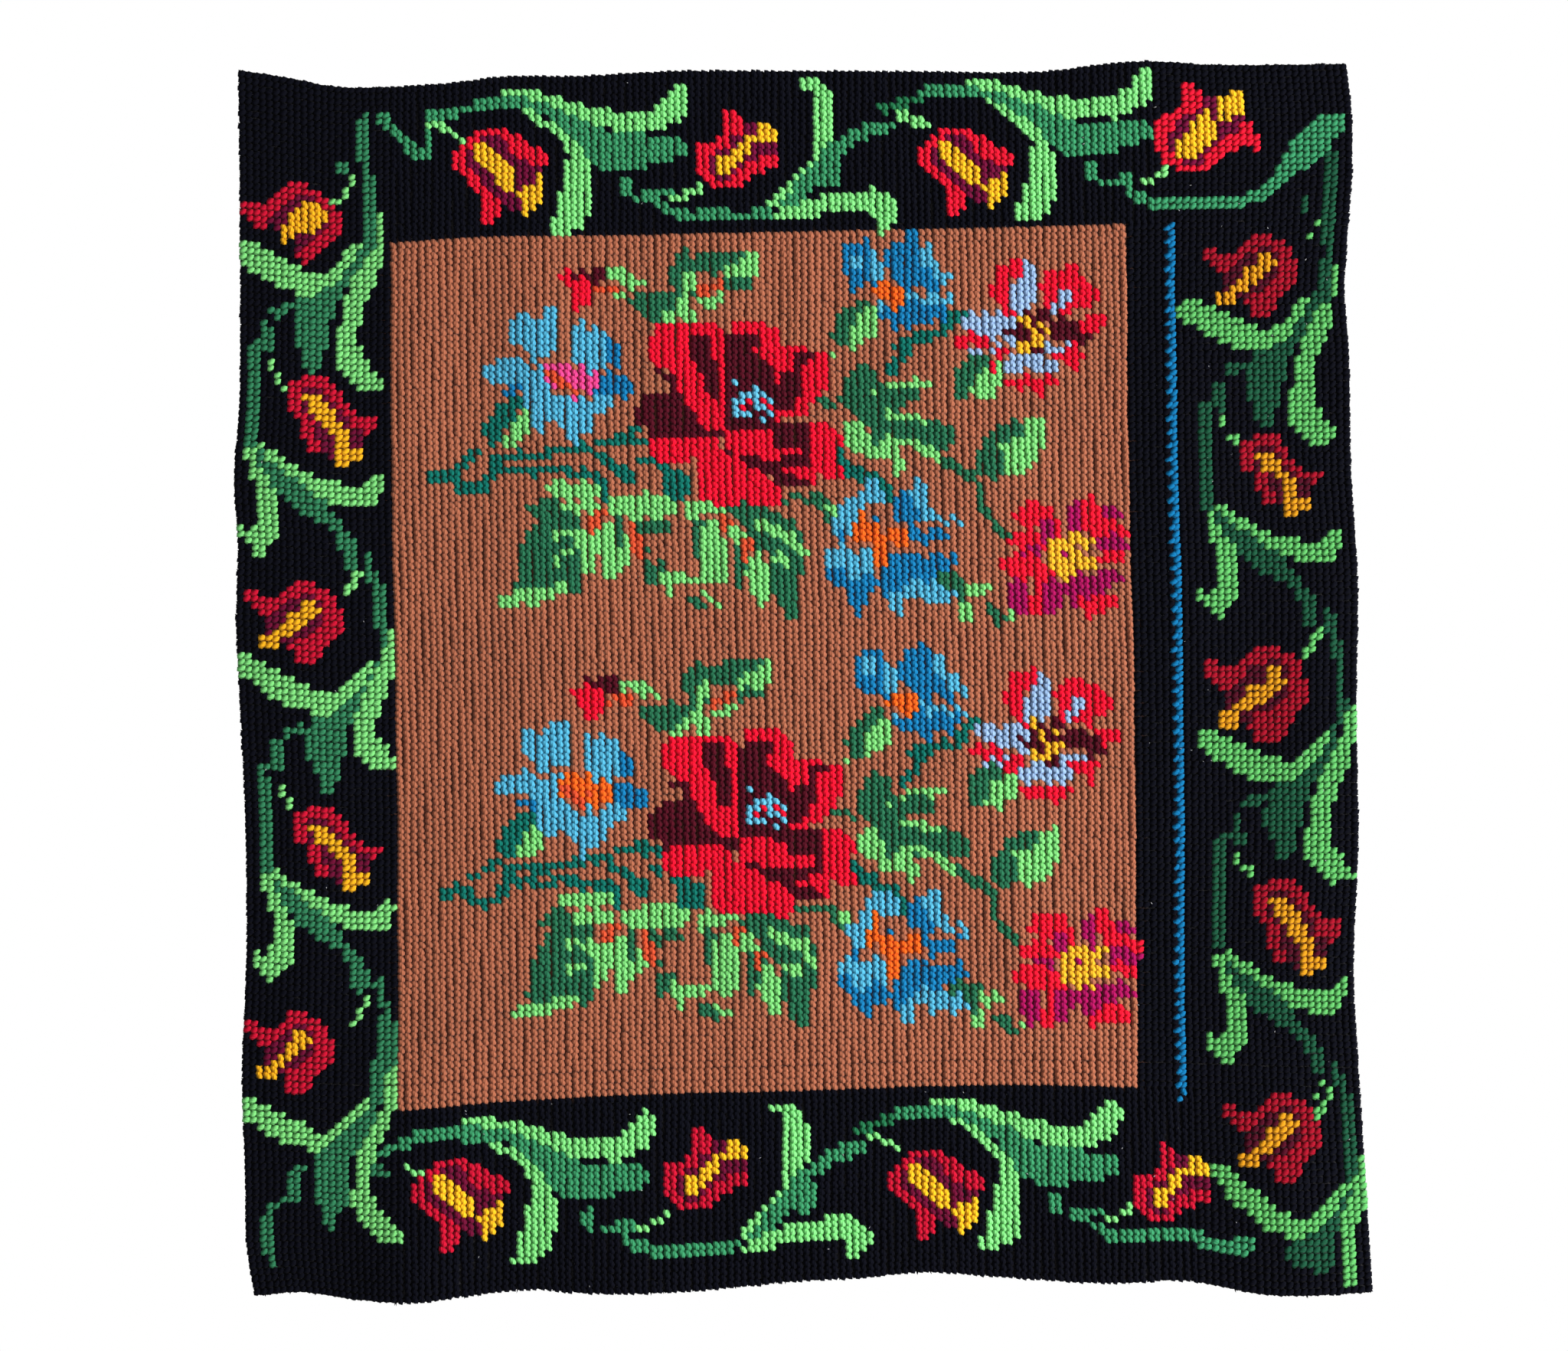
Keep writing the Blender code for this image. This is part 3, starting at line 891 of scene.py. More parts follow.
# The blue flowers. Each of the two sprays has three, in sky and middle blue wool round a small
# heart of pink or orange, worked column by column on the brown field.
Spray = namedtuple("Spray", "columns rows heart")
SPRAYS = [Spray(0, 0, "pink"), Spray(1, 64.5, "orange")]
BLUE_DYES = {
    "sky": (76, 165, 198),
    "blue": (14, 114, 166),
    "pink": (222, 64, 134),
    "orange": (236, 96, 24),
    "brick": (210, 74, 42),
}
LEFT_BLUE = """
sky 39.8 40.2 1.2, 42 40.4 3, 43 40.6 3.3, 44.8 38.4 1.5, 44.6 42.6 1.8
sky 49.2 39.8 1.4, 50.2 41.6 2.5, 51 43.6 2.7
blue 54 43 0.9, 54 45 1
sky 36.6 46.2 1.4, 40 46.6 2, 43 47.2 2.2, 43 52 1.6, 43.6 54.4 0.9
blue 38.6 49.4 0.6, 40.6 49.6 0.6
sky 45.8 52.4 2, 48 53 2.8, 49.6 53.8 1.8, 47.6 56.4 1.1
sky 51.8 51.6 1.9
blue 53 48.7 1.9, 55.2 48.9 1.9
heart 46 47.3 2.1, 48 47.4 2.4, 50.4 47.8 1.9
brick 45.2 47.4 0.8, 46.4 49 0.8, 48.2 48.8 0.7
"""
TOP_BLUE = """
blue 88 27.6 1.2, 89.4 29.4 2.4, 89.6 32 2, 91 33.2 1
blue 94.6 28 1.2, 95.6 29.6 2.4, 97 31.6 2.5, 96.6 34.4 1.2
blue 97 26.6 0.7, 96.6 28.5 0.9
sky 88.6 28.6 0.8, 89.4 30.4 0.8
sky 91.4 29.6 0.9, 92.2 31.4 1, 92.2 33 0.8
sky 99 28.6 1.1, 99.6 31 1.2, 101.4 32.6 1.1, 102.5 33.2 0.6
blue 98.6 32 1.2, 100 34 1
sky 97 36.4 0.8, 102.5 36.2 0.8
blue 93.2 38 1, 96 38.6 1.9, 98.6 38.4 1.6, 101 38 1.2
blue 97 40.6 0.8
sky 92.4 37 0.7
orange 91.7 34.8 0.7, 93.4 34.4 1.3, 95 35.2 1.5, 94.6 36.8 1
"""
MIDDLE_BLUE = """
sky 91.4 65.2 0.8, 91 67 1.9, 89 67.4 1.8, 88 69.6 1.2, 86 71.4 1.5, 88 71.6 0.9
blue 86.5 73.5 1
blue 95 67.4 1.1, 95.6 69.6 1.6, 97.6 70 1.4
sky 98 65.3 0.8, 97.4 67.2 1.3, 98.4 69 1, 99.6 70.5 0.8, 103 70.8 0.6
blue 96.2 72.4 0.7, 97.4 74 1, 99.5 73.4 1, 101.2 72.8 0.6
sky 84.8 76.6 1.2, 87 77 2.2, 89 77.4 2.3, 90 79.4 1.4
blue 84.5 78.4 0.6, 86.4 80.4 1.2, 88.4 81.2 2.1, 90.2 80.8 1.5, 88.2 84 0.7
blue 94.6 76.2 0.9, 94.4 79.2 2.2, 97 78.8 2.2, 99.4 78 1.6, 101.6 77.4 1.1
blue 92.8 80.4 1.2, 93 83 0.7
sky 94.4 82.4 1, 94.2 84.6 0.8
sky 96.4 82.2 1.4, 99 82.2 1.8, 101.6 82.6 1.1
orange 89.5 69.2 0.8, 89 72.6 0.8, 91 72.6 1.2, 92 74.5 1.5, 92.2 77.4 1
orange 94 73 1.3, 95.4 73.6 1.1
blue 91.6 71.2 0.5
"""


def lay_in_sprays(plan, tables, ragged):
    """Marks the lines of these tables once in each spray, moved to the spray's place, with the
    wool of the spray's own heart."""
    for spray in SPRAYS:
        for table in tables:
            for shade_name, places in lines_of(table):
                worked = spray.heart if shade_name == "heart" else shade_name
                trail(plan, worked, places, spray.columns, spray.rows, ragged)


blue_flowers = empty_plan()
lay_in_sprays(blue_flowers, [LEFT_BLUE, TOP_BLUE, MIDDLE_BLUE], ragged=0.9)
work("blue_flower", blue_flowers, BLUE_DYES)


# The great red flower, the red bud and the star flower of each spray: red and maroon wool, with
# pale blue in the star's petals and a sky blue eye in the great flower. Its petals are broad, and
# those of the others are short columns that end unevenly.
RED_DYES = {
    "red": (230, 10, 44),
    "maroon": (74, 4, 24),
    "pale": (140, 170, 208),
    "clear": (92, 176, 208),
    "brick": (210, 72, 40),
    "gold": (232, 168, 34),
}
# Each petal of the great flower is given by its upper and its lower edge: at each column that it
# passes, the row at which it starts and the row at which it ends.
GREAT_RED = """
maroon 70.3 41.6 55.3, 71.4 40.3 55.4, 75.3 40.3 55.5, 76.5 45 55.5, 77.6 47.6 53, 79 46.9 53,
    80.3 45 52.6, 80.4 44.2 50.6, 81.6 44.2 50, 83.5 44.2 45.5
maroon 64.4 41.2 43.8, 65.4 40.3 44.6, 66.5 40.3 47.4, 67.4 40.3 50.4, 68.4 41 51.2, 69.7 44.8 51.2
maroon 56.6 52.6 55.2, 57.6 51.4 55.3, 58.6 50 55.4, 60.4 50 56.5, 64.4 50 56.5, 65.4 52.4 57,
    69.7 54.8 57, 70.6 54.8 56
maroon 60.4 46.4 47.4, 62.5 46.6 48.2
maroon 62.4 47.2 50.4, 64 48 50.8
maroon 58.6 55.8 57.8, 60.5 55.6 57
maroon 70.4 54.2 56, 73.6 54.2 56, 76.7 54.6 58.6, 79.4 55 59, 80.4 55 61.4, 81.6 55 61.4,
    82.7 57.8 60.6
maroon 70.4 58.4 60.4, 72 59.8 61.3, 74.6 60.2 62.7, 76.7 60.8 63.4, 77.9 60.2 65.1, 80.4 60 65.1,
    81.8 60.6 65.1
red 59.4 41 44.8, 60.4 39.2 45.8, 62.5 39.2 46.8, 63.6 39.3 50, 64.5 39.4 50.8
red 64.4 43.8 51.4, 65.4 44.6 52.9, 66.6 46.8 55, 67.4 50.2 55.8, 69.9 51.2 55.8
red 65.3 39.1 40.5, 68.5 39.2 40.9
red 68.4 40 44.9, 69.6 40.4 45.1
red 69.2 45 51.2, 69.9 45 51
red 71.3 39 40.5, 76.4 39 40.5
red 75.3 39.6 45, 77.5 40.3 47.6
red 73.6 43.2 44.3, 75.4 42 44.4
red 76.6 45 48, 77.7 43.4 48.8
red 77.6 43.4 47, 80.3 43 47.2
red 80.3 43 44.3, 82.4 43.2 44.4
red 81.4 46 53.2, 82.4 45.4 52.6, 83.4 44.4 51.2, 84.5 44.2 49.6
red 80.4 50.6 53.5, 81.5 50.6 53.5
red 76.7 53.7 54.7, 80.4 52.6 54
red 58.8 57.6 60, 60.6 56.8 61.2, 64.7 56.6 61.2, 65.5 57 60, 67.6 57 60.2, 68.9 57.6 60.6
red 69.7 56.4 58.3, 70.6 55.7 59.2, 73.6 55.6 60.2, 76.7 56.4 61, 77 58.6 61, 78.4 58.6 60.1,
    80.5 58.8 60.1
red 65.8 59.8 65.8, 66.8 58.8 67, 68 58.3 67.5, 70.2 59.6 67.8, 72.6 61 67.3, 75 62.6 68,
    76.8 64 68.3, 77.7 65.2 67.4
red 81.6 54.8 58, 82.6 54.8 62, 84.4 54.8 63.5, 85.5 56 63.5, 85.6 56.6 58.9, 86.6 56.6 58.9
red 85.4 61.6 63.5, 86.6 61.6 63.5
red 78 62.2 63.3, 80.6 61.9 63.6, 81.6 61.7 64.5, 82.7 61.6 65.5
"""
RED_EYE = """
C.....
...C..
.CCCC.
CCRCRC
CRMCCR
CCCMMC
....C.
"""
RED_EYE_WOOLS = {"C": "clear", "R": "red", "M": "maroon"}
RED_BUD = """
red 47.5 31.8 1.1, 49.5 33 1.9, 50 34.4 1.2, 48.4 35.8 0.8
maroon 48.5 30.6 0.6, 52 30.8 0.7, 51.8 32 0.9
brick 51.6 33.8 0.6, 54.4 33.6 0.6
"""
STAR = """
maroon 113 39 1.4, 114 41.6 2.2, 115 43.8 1.5
maroon 116 38.8 1
maroon 118 41.2 1.6, 120 42 1.6, 121.8 42.8 1
red 110.6 32.2 1.5, 109.6 34.6 1.4, 110.6 37.4 0.9, 111.4 39 0.6
red 111.8 31 1, 112.3 32.6 0.9
pale 113.7 30.6 0.6, 114 33 1, 113 35.2 1.8, 112.8 36.6 1.9
red 117.4 34 2, 119.4 35 3, 121.8 36 1.9, 123.4 36 0.8
red 117.2 33 1.2, 120 33.2 1.3
red 117.2 37.4 1.2, 119.6 38 1.2
pale 118 37.4 1, 119 36.2 0.9
red 122 40.2 1, 123.2 41.2 1.4, 124.8 40.6 0.6
red 118.2 45.2 1.2, 120.2 45.4 1.4, 120.4 47.6 0.8
pale 116.3 43.6 0.6, 117 44.6 0.6, 119.4 44.4 0.5
pale 105.2 39.6 1.1, 107.6 40.6 2, 110.4 41 2, 111.2 43 0.9
pale 105.5 44.4 0.5, 109.4 44.2 0.6
red 104.2 42.6 0.9, 106.4 43 1.1, 107.6 43.4 0.7
red 109.8 44.8 0.9, 108.6 46.4 0.9
pale 111.4 46.8 1.4, 114 46 1.5, 116.8 47 1.2
red 111 49.8 0.7, 113 49.4 1, 115.4 49.6 1.1, 117.2 49 0.7
red 115.2 51 0.6
maroon 111 41.6 0.7
gold 112.4 39 0.6, 113.4 40.4 0.7, 114.4 42 0.6, 115.4 42.8 0.5, 116.4 41.4 0.6
gold 115.2 40.4 0.6
gold 112.3 43.8 0.6, 113.3 44.4 0.6, 114.3 43.6 0.5
"""
EYE_COLUMN = 71
EYE_ROW = 48
EYE_SIZE = (6, 7)


def petal(plan, wool_name, edges, columns, rows):
    """Marks each stitch whose middle lies between an upper and a lower edge, from the first
    column to the last. Both edges run straight from place to place."""
    column, top, bottom = edges.T
    across = middle_column - columns
    down = middle_row - rows
    below_top = down >= np.interp(across, column, top)
    above_bottom = down <= np.interp(across, column, bottom)
    plan[(across >= column[0]) & (across <= column[-1]) & below_top & above_bottom] = wool_name


red_flowers = empty_plan()
for spray in SPRAYS:
    for shade_name, edges in lines_of(GREAT_RED):
        petal(red_flowers, shade_name, edges, spray.columns, spray.rows)
    place = (EYE_COLUMN + spray.columns, EYE_ROW + int(spray.rows))
    stamp(red_flowers, Motif(RED_EYE, *place, *EYE_SIZE, RED_EYE_WOOLS, gold_upright=False))
lay_in_sprays(red_flowers, [RED_BUD, STAR], ragged=0.6)
work("red_flower", red_flowers, RED_DYES)


# The magenta flower at the foot of each spray: eight short petals of magenta and red wool round a
# gold heart, with flecks of magenta in the gold.
MAGENTA_DYES = {
    "magenta": (156, 6, 82),
    "scarlet": (236, 16, 46),
    "yellow": (232, 172, 38),
}
MAGENTA_FLOWER = """
scarlet 113.2 70.6 1.8, 115.4 70 1.9, 116.6 72.8 1.5
scarlet 111.4 74.6 1.2, 114.4 74.4 1.8
scarlet 110.8 78.6 1.5, 113.6 78.6 2.2, 115.4 79.4 1.8, 115 82.6 1.2, 113.8 85.4 1
magenta 111.6 82.6 1.8, 112 84.8 1.5
magenta 116.6 81.8 1.7, 116 84.2 1.4
magenta 120 81.6 2, 122.6 81.6 1.7, 125 80.8 1.2, 126.4 80.6 0.6
magenta 119.4 84.4 0.9
scarlet 121.4 84.9 1.2, 123.6 84.5 1.4, 125.4 85 1.1
magenta 120.5 69 0.8, 120.2 72.4 1.3
scarlet 122.4 68.4 1, 122.4 71 1.2, 123.4 73.2 1.4, 126 73 1, 128 73.4 0.5
magenta 124.6 71 1, 126 70.6 0.7
magenta 124.4 75.6 1.4, 126.8 74.9 0.9
scarlet 124.2 77.6 1, 126.4 77.2 0.9
magenta 116 72.2 1.3, 115.8 73.6 1
magenta 112.6 76.4 0.8, 114.4 76 0.6
yellow 117.5 75 1.2, 117.6 78 1.5, 119.4 79.2 1.2
yellow 119.6 74.8 1, 121.8 74.6 0.9
yellow 119.6 76.8 0.8, 121 77.4 1, 122.6 78.2 0.8
yellow 118.8 80.4 0.6
magenta 118.8 76.6 0.5
"""

magenta_flowers = empty_plan()
lay_in_sprays(magenta_flowers, [MAGENTA_FLOWER], ragged=0.7)
work("magenta_flower", magenta_flowers, MAGENTA_DYES)


# The leaves of the sprays. Green wool in two shades with a vein of light green and a few brick
# stitches, and behind them the long teal twigs that the flowers sit on.
LEAF_DYES = {
    "light": (118, 204, 114),
    "middle": (34, 102, 71),
    "teal": (6, 104, 92),
    "brick": (206, 76, 44),
}
SPRAY_LEAVES = """
teal 27.5 62 0.9, 31 62.2 1.1
teal 32 64 0.8, 35 64 0.8, 36 62.5 0.8, 36.8 61 0.8, 37 59.5 0.8
teal 32 60.3 0.7, 33 59.4 0.6, 35 57.8 0.6
teal 37.5 59.5 0.7, 44.5 59.3 0.7, 47 58.5 0.7, 53.5 57.5 0.6, 57.5 55.6 0.6
teal 56 57.5 0.6, 58.4 57.4 0.6
teal 38 61.6 0.7, 45.5 61.6 0.7, 51 62.5 0.8, 52 64 0.8, 52.5 66 0.8
teal 51.7 59.6 0.6, 53 60.5 0.7, 54.4 61.7 0.8, 56 63 1.3
teal 57.5 60.5 0.7, 60 60.5 0.7, 61.5 62.2 1, 63 64.5 2.2
teal 39.8 51.4 1.1, 38.4 52.8 1.9, 37 54.8 1.6, 36.6 57 1
light 41.9 52.6 0.8, 40.6 54.8 1.5, 39.4 57 1.3
light 52.8 32 0.6, 54 31 0.6, 55.8 31.3 1, 56.4 33 0.6
light 57.8 32.6 0.6, 59 32.8 0.6
light 55 34.5 0.6
middle 57.6 35.6 1.3, 59.6 36.4 2.1, 62 36.4 2.1, 63.6 35.2 1.2
middle 60.5 38.8 0.9
light 60.5 39.8 0.6, 61.5 38.5 0.6, 63 37.3 0.6, 64 35.8 0.6
middle 64.5 27.8 0.7, 64 30 1.6, 63.8 32.4 1.4, 64.8 34 1
middle 67 29.8 1.6, 70.4 29.6 1.7, 73.2 28.8 0.9
light 71.6 31.2 1.4, 73.2 30.8 1.7, 74.4 28.8 0.8
light 65 32 0.9, 64.8 34 0.6, 64.9 37 0.6, 65 40 0.6
middle 71 33.3 1, 73.5 33 0.8
brick 66.5 34.3 0.8, 69.4 33 0.6
light 66.5 36.2 0.6, 68 36 0.6, 69.8 35 0.6
light 45 64.7 1.1, 51 64.8 1.1
middle 41.6 67.6 0.8, 44 67.6 1.6, 47 69.8 2
middle 45.4 72 3.8, 44.4 75.4 4.5, 44.2 77.4 4, 41 79.4 1.6
middle 47.4 76 1.6, 47.4 79.8 1.2
light 46.8 67.6 0.9, 50.6 67.4 1.2
light 48.5 71.2 0.6, 46 71.4 0.6, 45.2 72.4 0.6
light 47.2 74.4 0.6, 45.8 75.4 0.6, 45.2 76.6 0.6
light 38 82.3 0.9, 40.4 81.6 1.2, 44 81 1.1, 46.4 80.2 0.8
light 50.2 72.6 1.9, 52.8 73 2.7, 54.4 74.4 2.3, 53.6 76.8 1.4, 53 78.8 0.8
light 50 75.8 1.3, 49.5 78 0.7
light 54 67.7 1.3, 57 67.6 2, 60.4 67.8 2, 61.8 68 1.3
middle 54.3 69.8 0.7, 54.3 74 0.6
middle 57.8 71 0.9, 61 71 1
brick 52 68.9 0.7, 50.8 70.4 1.2
brick 56.2 70.6 0.7, 57 73 0.9, 57.3 75.6 0.6
middle 58.5 74.8 0.8
middle 58.4 77.4 0.8, 60 77.6 1.1, 58.8 79.2 0.9
light 60.8 79.4 1.2, 63 79.2 1.1, 65 79.6 0.8
light 61.6 81.4 0.7
middle 65 82.4 1, 66.3 84 0.8
light 66 81.5 0.5, 67.6 82.7 0.7, 68.7 82.9 0.5
light 65 68.7 1.4, 67.4 68.1 1.2, 69.6 67.8 0.7
middle 65.6 70.6 0.9, 65.7 75 0.9
light 66.4 76.6 0.9, 66.6 79 0.9
light 67.7 71 1.2, 68.2 75 2, 68.5 78.4 1.8
middle 72 68.8 1.6, 75 70.2 2.5, 78 71.8 2.3, 78.8 75.4 2.3, 78.4 79 2.2, 78.2 82 1.7, 79.2 85 0.7
middle 74.6 73.6 1.6, 72.2 73.6 1.5, 71.8 77 1.2, 71.4 80 0.8
light 74.4 71 0.9, 76.6 71.8 1, 79 72.7 1.1, 79.8 74.8 0.8
light 81 75.7 0.6
light 70.6 71.8 1.2, 71.8 73 0.9
brick 69.2 72 0.6, 69.8 70.4 0.9
brick 73 73.9 0.7, 72.4 76.2 0.7
light 74 76.6 1.1, 74.2 79 1.8, 74.8 81.6 1.3, 74.6 83.6 0.6
light 76.4 75.8 0.6, 78.4 76.3 0.7, 78.2 77.6 0.6
middle 78 67 0.6, 80.4 67 0.6, 83.4 67.5 0.9, 84.5 69 0.9, 85.4 71 0.7
light 84 68 0.5, 85.5 69 0.6, 86.3 70.5 0.6
teal 105 38.2 0.6, 103.5 38.4 0.7, 102.3 40 0.6, 101.4 41.5 0.7, 99.5 41.8 0.8, 97.5 42.5 0.7,
    95.5 43.2 1.2, 96 44.7 0.6, 93.9 47 0.9
middle 90.4 37 1.1, 88.2 39 1.9, 87 41.4 1.7
light 91 38.6 1.2, 90 40.6 1.9, 88.6 42.2 1
light 85.5 44.3 0.5
middle 89.8 48.6 2.4, 90 51 2.9, 91.6 53 2.7, 93 56 2.4, 97 57 2.6, 99.4 57 2.4
middle 94 51.5 1.5, 97 51.5 1.2
light 93.5 49.4 0.6, 99 49.4 0.6
light 91.3 50.7 0.6
middle 83.5 51.8 0.6, 86 52.3 0.7
middle 96.5 55.6 1.3, 99.5 57 2.4, 101.5 58 1.8
light 93.3 54 0.6, 95.5 54.6 0.6, 98.5 55 0.6
light 88.5 55.5 1.1, 88.8 58.4 1.3, 90 58.4 1.4, 91.5 60 1.6, 93.5 59.2 1.9
light 94.8 61.5 0.9, 94.8 63 0.6
light 95.8 58.5 0.8, 98 59.3 0.7, 100.5 61 0.8
middle 92 56 0.9, 91.8 58.5 0.6
teal 86.5 60 0.8, 87 62.4 1.1, 89 62.2 0.9, 90 64.2 0.9, 92.5 64.5 0.7, 93.5 67 0.8
middle 100 79 1.1, 101.5 80 1.3, 103 80.6 1.2, 103.3 83 1
middle 104 79.8 0.7
light 104.5 82 0.9, 107 82 0.8, 108 81.8 0.6
light 104 84.5 0.8, 104 86.3 0.6
middle 107 84.8 0.7, 108.5 86 0.9, 109 87.3 0.6
light 110.5 86.3 0.7
middle 106 46.4 1.7, 105 48.4 2.3, 104.4 50.4 1.6
light 109 47.4 1.2, 108 49.2 1.9, 106.8 50.6 1.5
middle 113 56.6 1.2, 110.6 58.2 2.3, 109 60.6 2.6, 108.2 62.6 1.9
light 115 56 1.2, 113.8 58.4 2.2, 112.6 60.8 2.4, 111.2 62.8 1.5
middle 112 57.4 0.6
light 110 59.4 0.6
middle 101.5 61.5 0.7, 103 62.3 0.7, 104.5 63.6 0.9, 106.4 65 0.5, 106.4 69 0.5, 108.5 71.3 0.6,
    110.4 74.2 0.6
"""

leaf_plan = empty_plan()
lay_in_sprays(leaf_plan, [SPRAY_LEAVES], ragged=0.35)
work("spray_leaf", leaf_plan, LEAF_DYES)


# The blue line down the right of the field: one column of bright blue wool, with a plump looped
# stitch hooked out to the left on every second row.
LINE_DYES = {"blue": (6, 106, 158)}
LINE_COLUMN = 134
LINE_ROWS = (25, 161)
HOOK_ROWS = (LINE_ROWS[0] + 0.9, LINE_ROWS[1] + 0.6)
HOOK_PITCH = 2.12
HOOK_TILT_DEG = 30
HOOK_LENGTH = 9.2 * MM
HOOK_HALF_WIDTH = 2.5 * MM
HOOK_HALF_HEIGHT = 1.3 * MM
HOOK_LIFT = 3.3 * MM
HOOK_TO_LEFT = 0.15
HOOK_WANDER = np.array([0.05, 5, 0.06])

line_plan = empty_plan()
line_plan[LINE_ROWS[0]:LINE_ROWS[1], LINE_COLUMN] = "blue"
work("line", line_plan, LINE_DYES)
hook_row = np.arange(*HOOK_ROWS, HOOK_PITCH)
hook_wander = rng.normal(0, 1, (len(HOOK_WANDER), len(hook_row)))
hook_right, hook_tilt, hook_longer = HOOK_WANDER[:, None] * hook_wander
hooks = strands(
    PLUMP,
    LINE_COLUMN - HOOK_TO_LEFT + hook_right,
    hook_row,
    np.radians(HOOK_TILT_DEG + hook_tilt),
    HOOK_LENGTH * (1 + hook_longer),
    HOOK_HALF_WIDTH,
    HOOK_HALF_HEIGHT,
    HOOK_LIFT,
)
wool_piece("line_hooks", [hooks], wool("hook_blue_wool", linear(LINE_DYES["blue"])))


# The ground of the field: brown wool worked in upright columns, which stand up as ribs, round the
# flowers and leaves. It shines a little more than the rest.
FIELD_DYE = (160, 90, 61)
FIELD_SHEEN = 0.07
field_split = (FIELD_ROWS[0] + FIELD_ROWS[1]) // 2

field_plan = empty_plan()
field_plan[in_field & (middle_row < field_split)] = "upper_brown"
field_plan[in_field & (middle_row > field_split)] = "lower_brown"
work("field", field_plan, {"upper_brown": FIELD_DYE, "lower_brown": FIELD_DYE}, FIELD_SHEEN)


# The ground of the border: black wool, in upright columns above and below the field and in rows
# down the sides. One more strand of it is laid along each edge, over the turned canvas.
BORDER_DYE = (7, 8, 18)
BORDER_SHEEN = 0.01
EDGE_INSET = 0.22
EDGE_LENGTH = 7.4 * MM
EDGE_HALF_WIDTH = 1.3 * MM
EDGE_HALF_HEIGHT = 1.1 * MM
EDGE_LIFT = 1.5 * MM
EDGE_WANDER = 0.08

border_plan = empty_plan()
border_plan[middle_row < FIELD_ROWS[0]] = "top_black"
border_plan[middle_row > FIELD_ROWS[1]] = "bottom_black"
sides_of_field = (middle_row > FIELD_ROWS[0]) & (middle_row < FIELD_ROWS[1])
border_plan[sides_of_field & (middle_column < FIELD_COLUMNS[0])] = "left_black"
border_plan[sides_of_field & (middle_column > FIELD_COLUMNS[1])] = "right_black"
blacks = ["top_black", "bottom_black", "left_black", "right_black"]
work("border", border_plan, dict.fromkeys(blacks, BORDER_DYE), BORDER_SHEEN)


def edge_strands(column, row, heading):
    """Plump strands laid end to end along an edge, each a little longer than its stitch."""
    column, row = np.broadcast_arrays(column, row)
    half_height = EDGE_HALF_HEIGHT * (1 + EDGE_WANDER * rng.normal(0, 1, len(column)))
    return strands(
        PLUMP, column, row, heading, EDGE_LENGTH, EDGE_HALF_WIDTH, half_height, EDGE_LIFT
    )


down_rows = np.arange(ROWS) + 0.5
across_columns = np.arange(COLUMNS) + 0.5
edges = [
    edge_strands(EDGE_INSET, down_rows, np.pi / 2),
    edge_strands(COLUMNS - EDGE_INSET, down_rows, np.pi / 2),
    edge_strands(across_columns, EDGE_INSET, 0.0),
    edge_strands(across_columns, ROWS - EDGE_INSET, 0.0),
]
wool_piece("edge_cord", edges, wool("edge_black_wool", linear(BORDER_DYE), BORDER_SHEEN))


# Flecks and stray ends. Pale lint and bits of bare canvas show on the black, and short ends of
# wool stick out of the lower edge.
LINT_DYE = (188, 188, 192)
LINT_COUNT = 90
LINT_TRIES = 3 * LINT_COUNT
LINT_INSET = 0.5
LINT_SIZES = (0.5, 1.0)
LINT_LENGTH = 3.0 * MM
LINT_HALF_WIDTH = 0.45 * MM
LINT_HALF_HEIGHT = 0.3 * MM
LINT_LIFT = 4.0 * MM
END_COUNT = 30
END_ROW = ROWS - 0.1
END_ROW_WANDER = (-0.1, 0.2)
END_HEADINGS = (-2.0, -1.1)
END_LENGTHS_MM = (3, 6)
END_HALF_WIDTHS_MM = (0.4, 1.0)
END_HALF_HEIGHTS_MM = (0.4, 0.8)
END_LIFT = 2.2 * MM

lint_column = rng.uniform(LINT_INSET, COLUMNS - LINT_INSET, LINT_TRIES)
lint_row = rng.uniform(LINT_INSET, ROWS - LINT_INSET, LINT_TRIES)
below_lint = border_plan[lint_row.astype(int), lint_column.astype(int)]
on_black = np.char.find(below_lint, "black") >= 0
lint_column = lint_column[on_black][:LINT_COUNT]
lint_row = lint_row[on_black][:LINT_COUNT]
lint_size = rng.uniform(*LINT_SIZES, len(lint_column))
lint = strands(
    THIN,
    lint_column,
    lint_row,
    rng.uniform(0, np.pi, len(lint_column)),
    LINT_LENGTH * lint_size,
    LINT_HALF_WIDTH * lint_size,
    LINT_HALF_HEIGHT * lint_size,
    LINT_LIFT,
)
wool_piece("lint", [lint], wool("pale_lint", linear(LINT_DYE)))
end_column = rng.uniform(1, COLUMNS - 1, END_COUNT)
ends = strands(
    THIN,
    end_column,
    END_ROW + rng.uniform(*END_ROW_WANDER, END_COUNT),
    rng.uniform(*END_HEADINGS, END_COUNT),
    rng.uniform(*END_LENGTHS_MM, END_COUNT) * MM,
    rng.uniform(*END_HALF_WIDTHS_MM, END_COUNT) * MM,
    rng.uniform(*END_HALF_HEIGHTS_MM, END_COUNT) * MM,
    END_LIFT,
)
wool_piece("loose_ends", [ends], wool("loose_black_wool", linear(BORDER_DYE), BORDER_SHEEN))

stitch_pieces = [
    piece for piece in bpy.data.objects if "lie" in getattr(piece.data, "attributes", {})
]


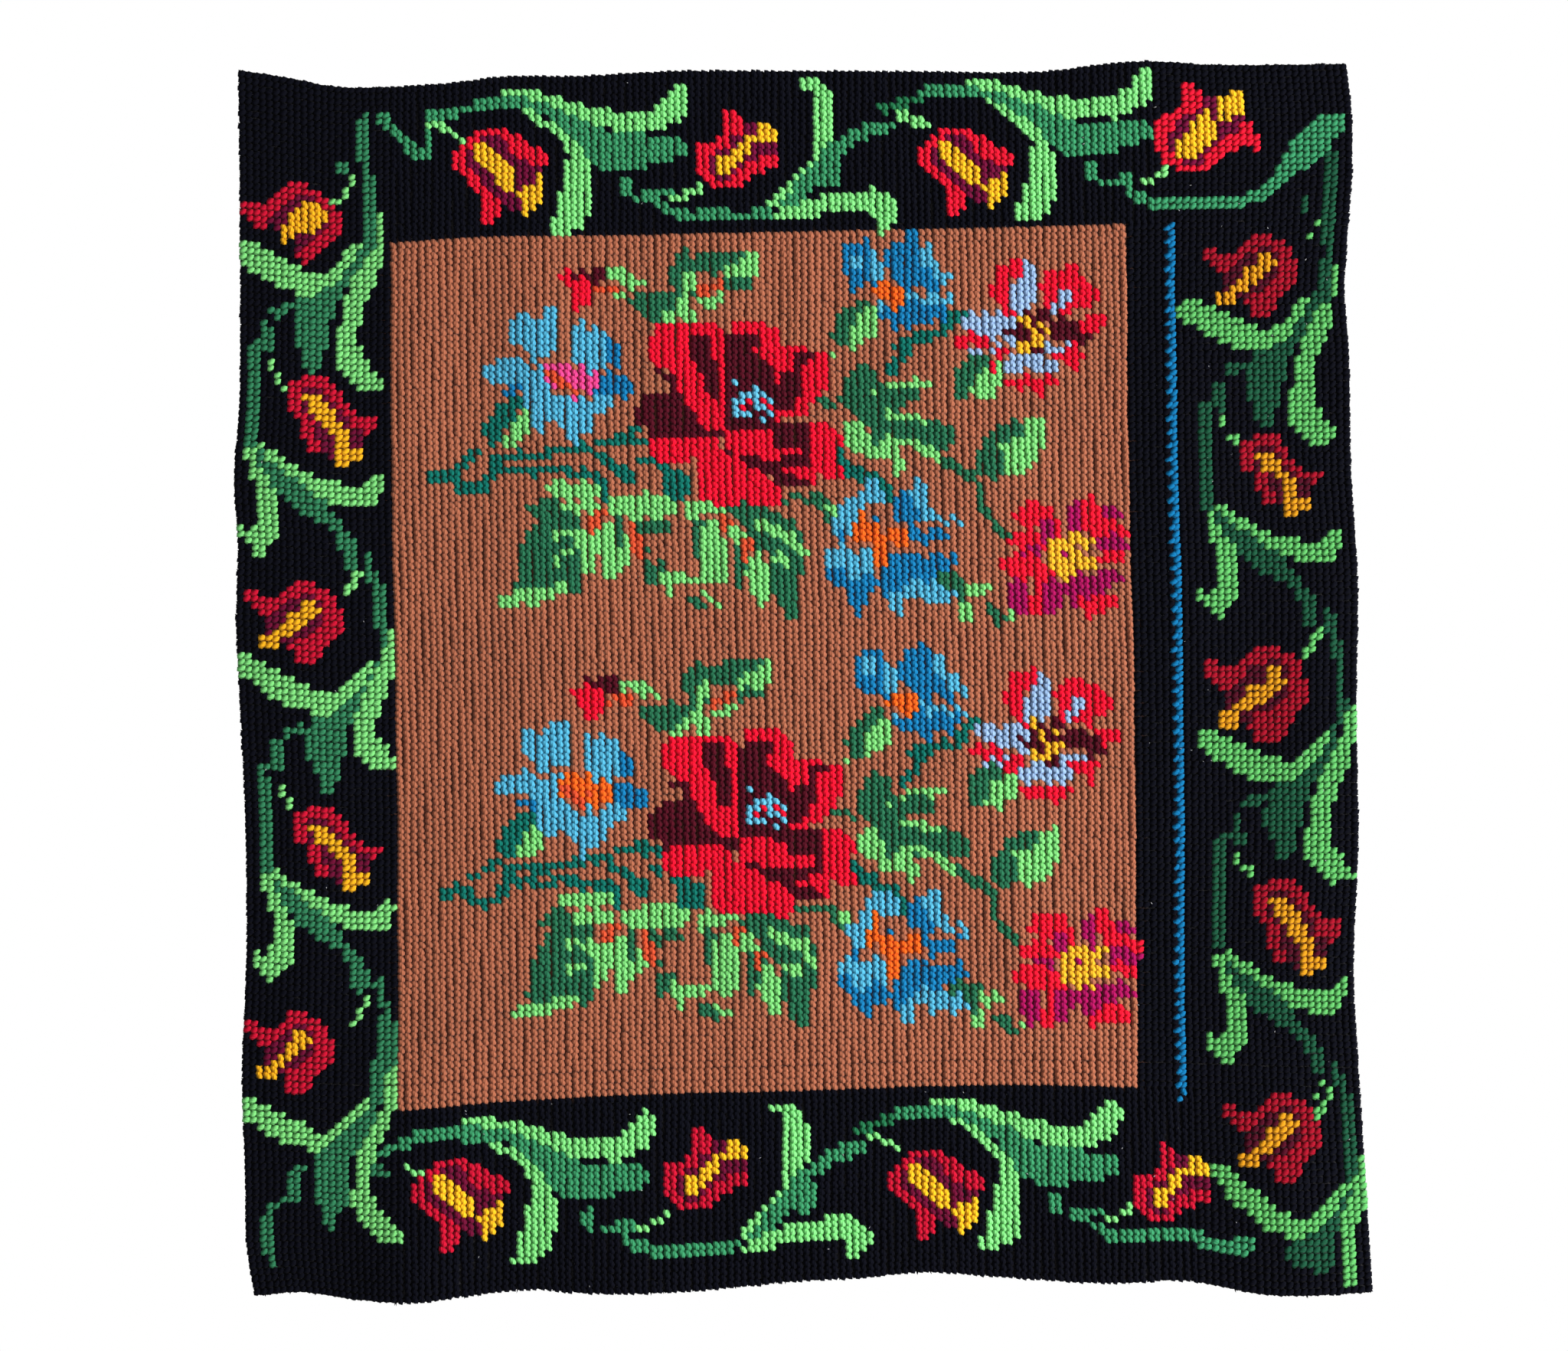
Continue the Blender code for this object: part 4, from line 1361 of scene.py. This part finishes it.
# The stage: a plain pale floor well below the hanging and a pale, even light all round, with one
# large soft lamp to the right and a weaker one to the left.
PIXELS_ACROSS = 2048
MM_PER_PIXEL = 0.663
PHOTO_WIDTH = PIXELS_ACROSS * MM_PER_PIXEL * MM
PHOTO_MIDDLE = (-15.9 * MM, -522.4 * MM)
LENS_MM = 100.0
SENSOR_MM = 36.0
FLOOR_BELOW = 1.35
FLOOR_FORWARD = 1.4
FLOOR_SIZE = 4.0
FLOOR_COLOUR = (0.8, 0.8, 0.8, 1.0)
FLOOR_ROUGHNESS = 0.9
LIGHT_ALL_ROUND = 0.26
LIGHT_BEHIND = 1.0

bpy.ops.mesh.primitive_plane_add(size=FLOOR_SIZE, location=(0, -FLOOR_FORWARD, -FLOOR_BELOW))
floor = bpy.context.object
floor.name = "floor"
floor_material, _, floor_shader = matt_material("pale_floor", FLOOR_ROUGHNESS)
floor_shader.inputs["Base Color"].default_value = FLOOR_COLOUR
floor.data.materials.append(floor_material)

world = bpy.data.worlds.new("pale_light")
world.use_nodes = True
light_path = world.node_tree.nodes.new("ShaderNodeLightPath")
strength = world.node_tree.nodes.new("ShaderNodeMapRange")
strength.inputs["To Min"].default_value = LIGHT_ALL_ROUND
strength.inputs["To Max"].default_value = LIGHT_BEHIND
background = world.node_tree.nodes["Background"]
background.inputs["Color"].default_value = (1.0, 1.0, 1.0, 1.0)
world.node_tree.links.new(light_path.outputs["Is Camera Ray"], strength.inputs["Value"])
world.node_tree.links.new(strength.outputs["Result"], background.inputs["Strength"])
bpy.context.scene.world = world
bpy.context.scene.view_settings.view_transform = "Standard"


def soft_lamp(name, place, size, watts):
    """A square lamp turned towards the middle of the hanging."""
    lamp = bpy.data.lights.new(name, "AREA")
    lamp.size = size
    lamp.energy = watts
    holder = bpy.data.objects.new(name, lamp)
    holder.location = place
    aim = np.array([PHOTO_MIDDLE[0], 0, PHOTO_MIDDLE[1]]) - np.array(place)
    holder.rotation_euler = (
        math.atan2(math.hypot(aim[0], aim[1]), -aim[2]),
        0,
        math.atan2(aim[1], aim[0]) - math.pi / 2,
    )
    bpy.context.scene.collection.objects.link(holder)


soft_lamp("right_lamp", place=(5.0, -2.6, -0.6), size=1.2, watts=575)
soft_lamp("left_lamp", place=(-2.0, -2.2, 0.5), size=1.6, watts=16)

camera_data = bpy.data.cameras.new("camera")
camera_data.lens = LENS_MM
camera_data.sensor_width = SENSOR_MM
camera = bpy.data.objects.new("camera", camera_data)
camera.location = (PHOTO_MIDDLE[0], -PHOTO_WIDTH * LENS_MM / SENSOR_MM, PHOTO_MIDDLE[1])
camera.rotation_euler = (math.pi / 2, 0, 0)
bpy.context.scene.collection.objects.link(camera)
bpy.context.scene.camera = camera
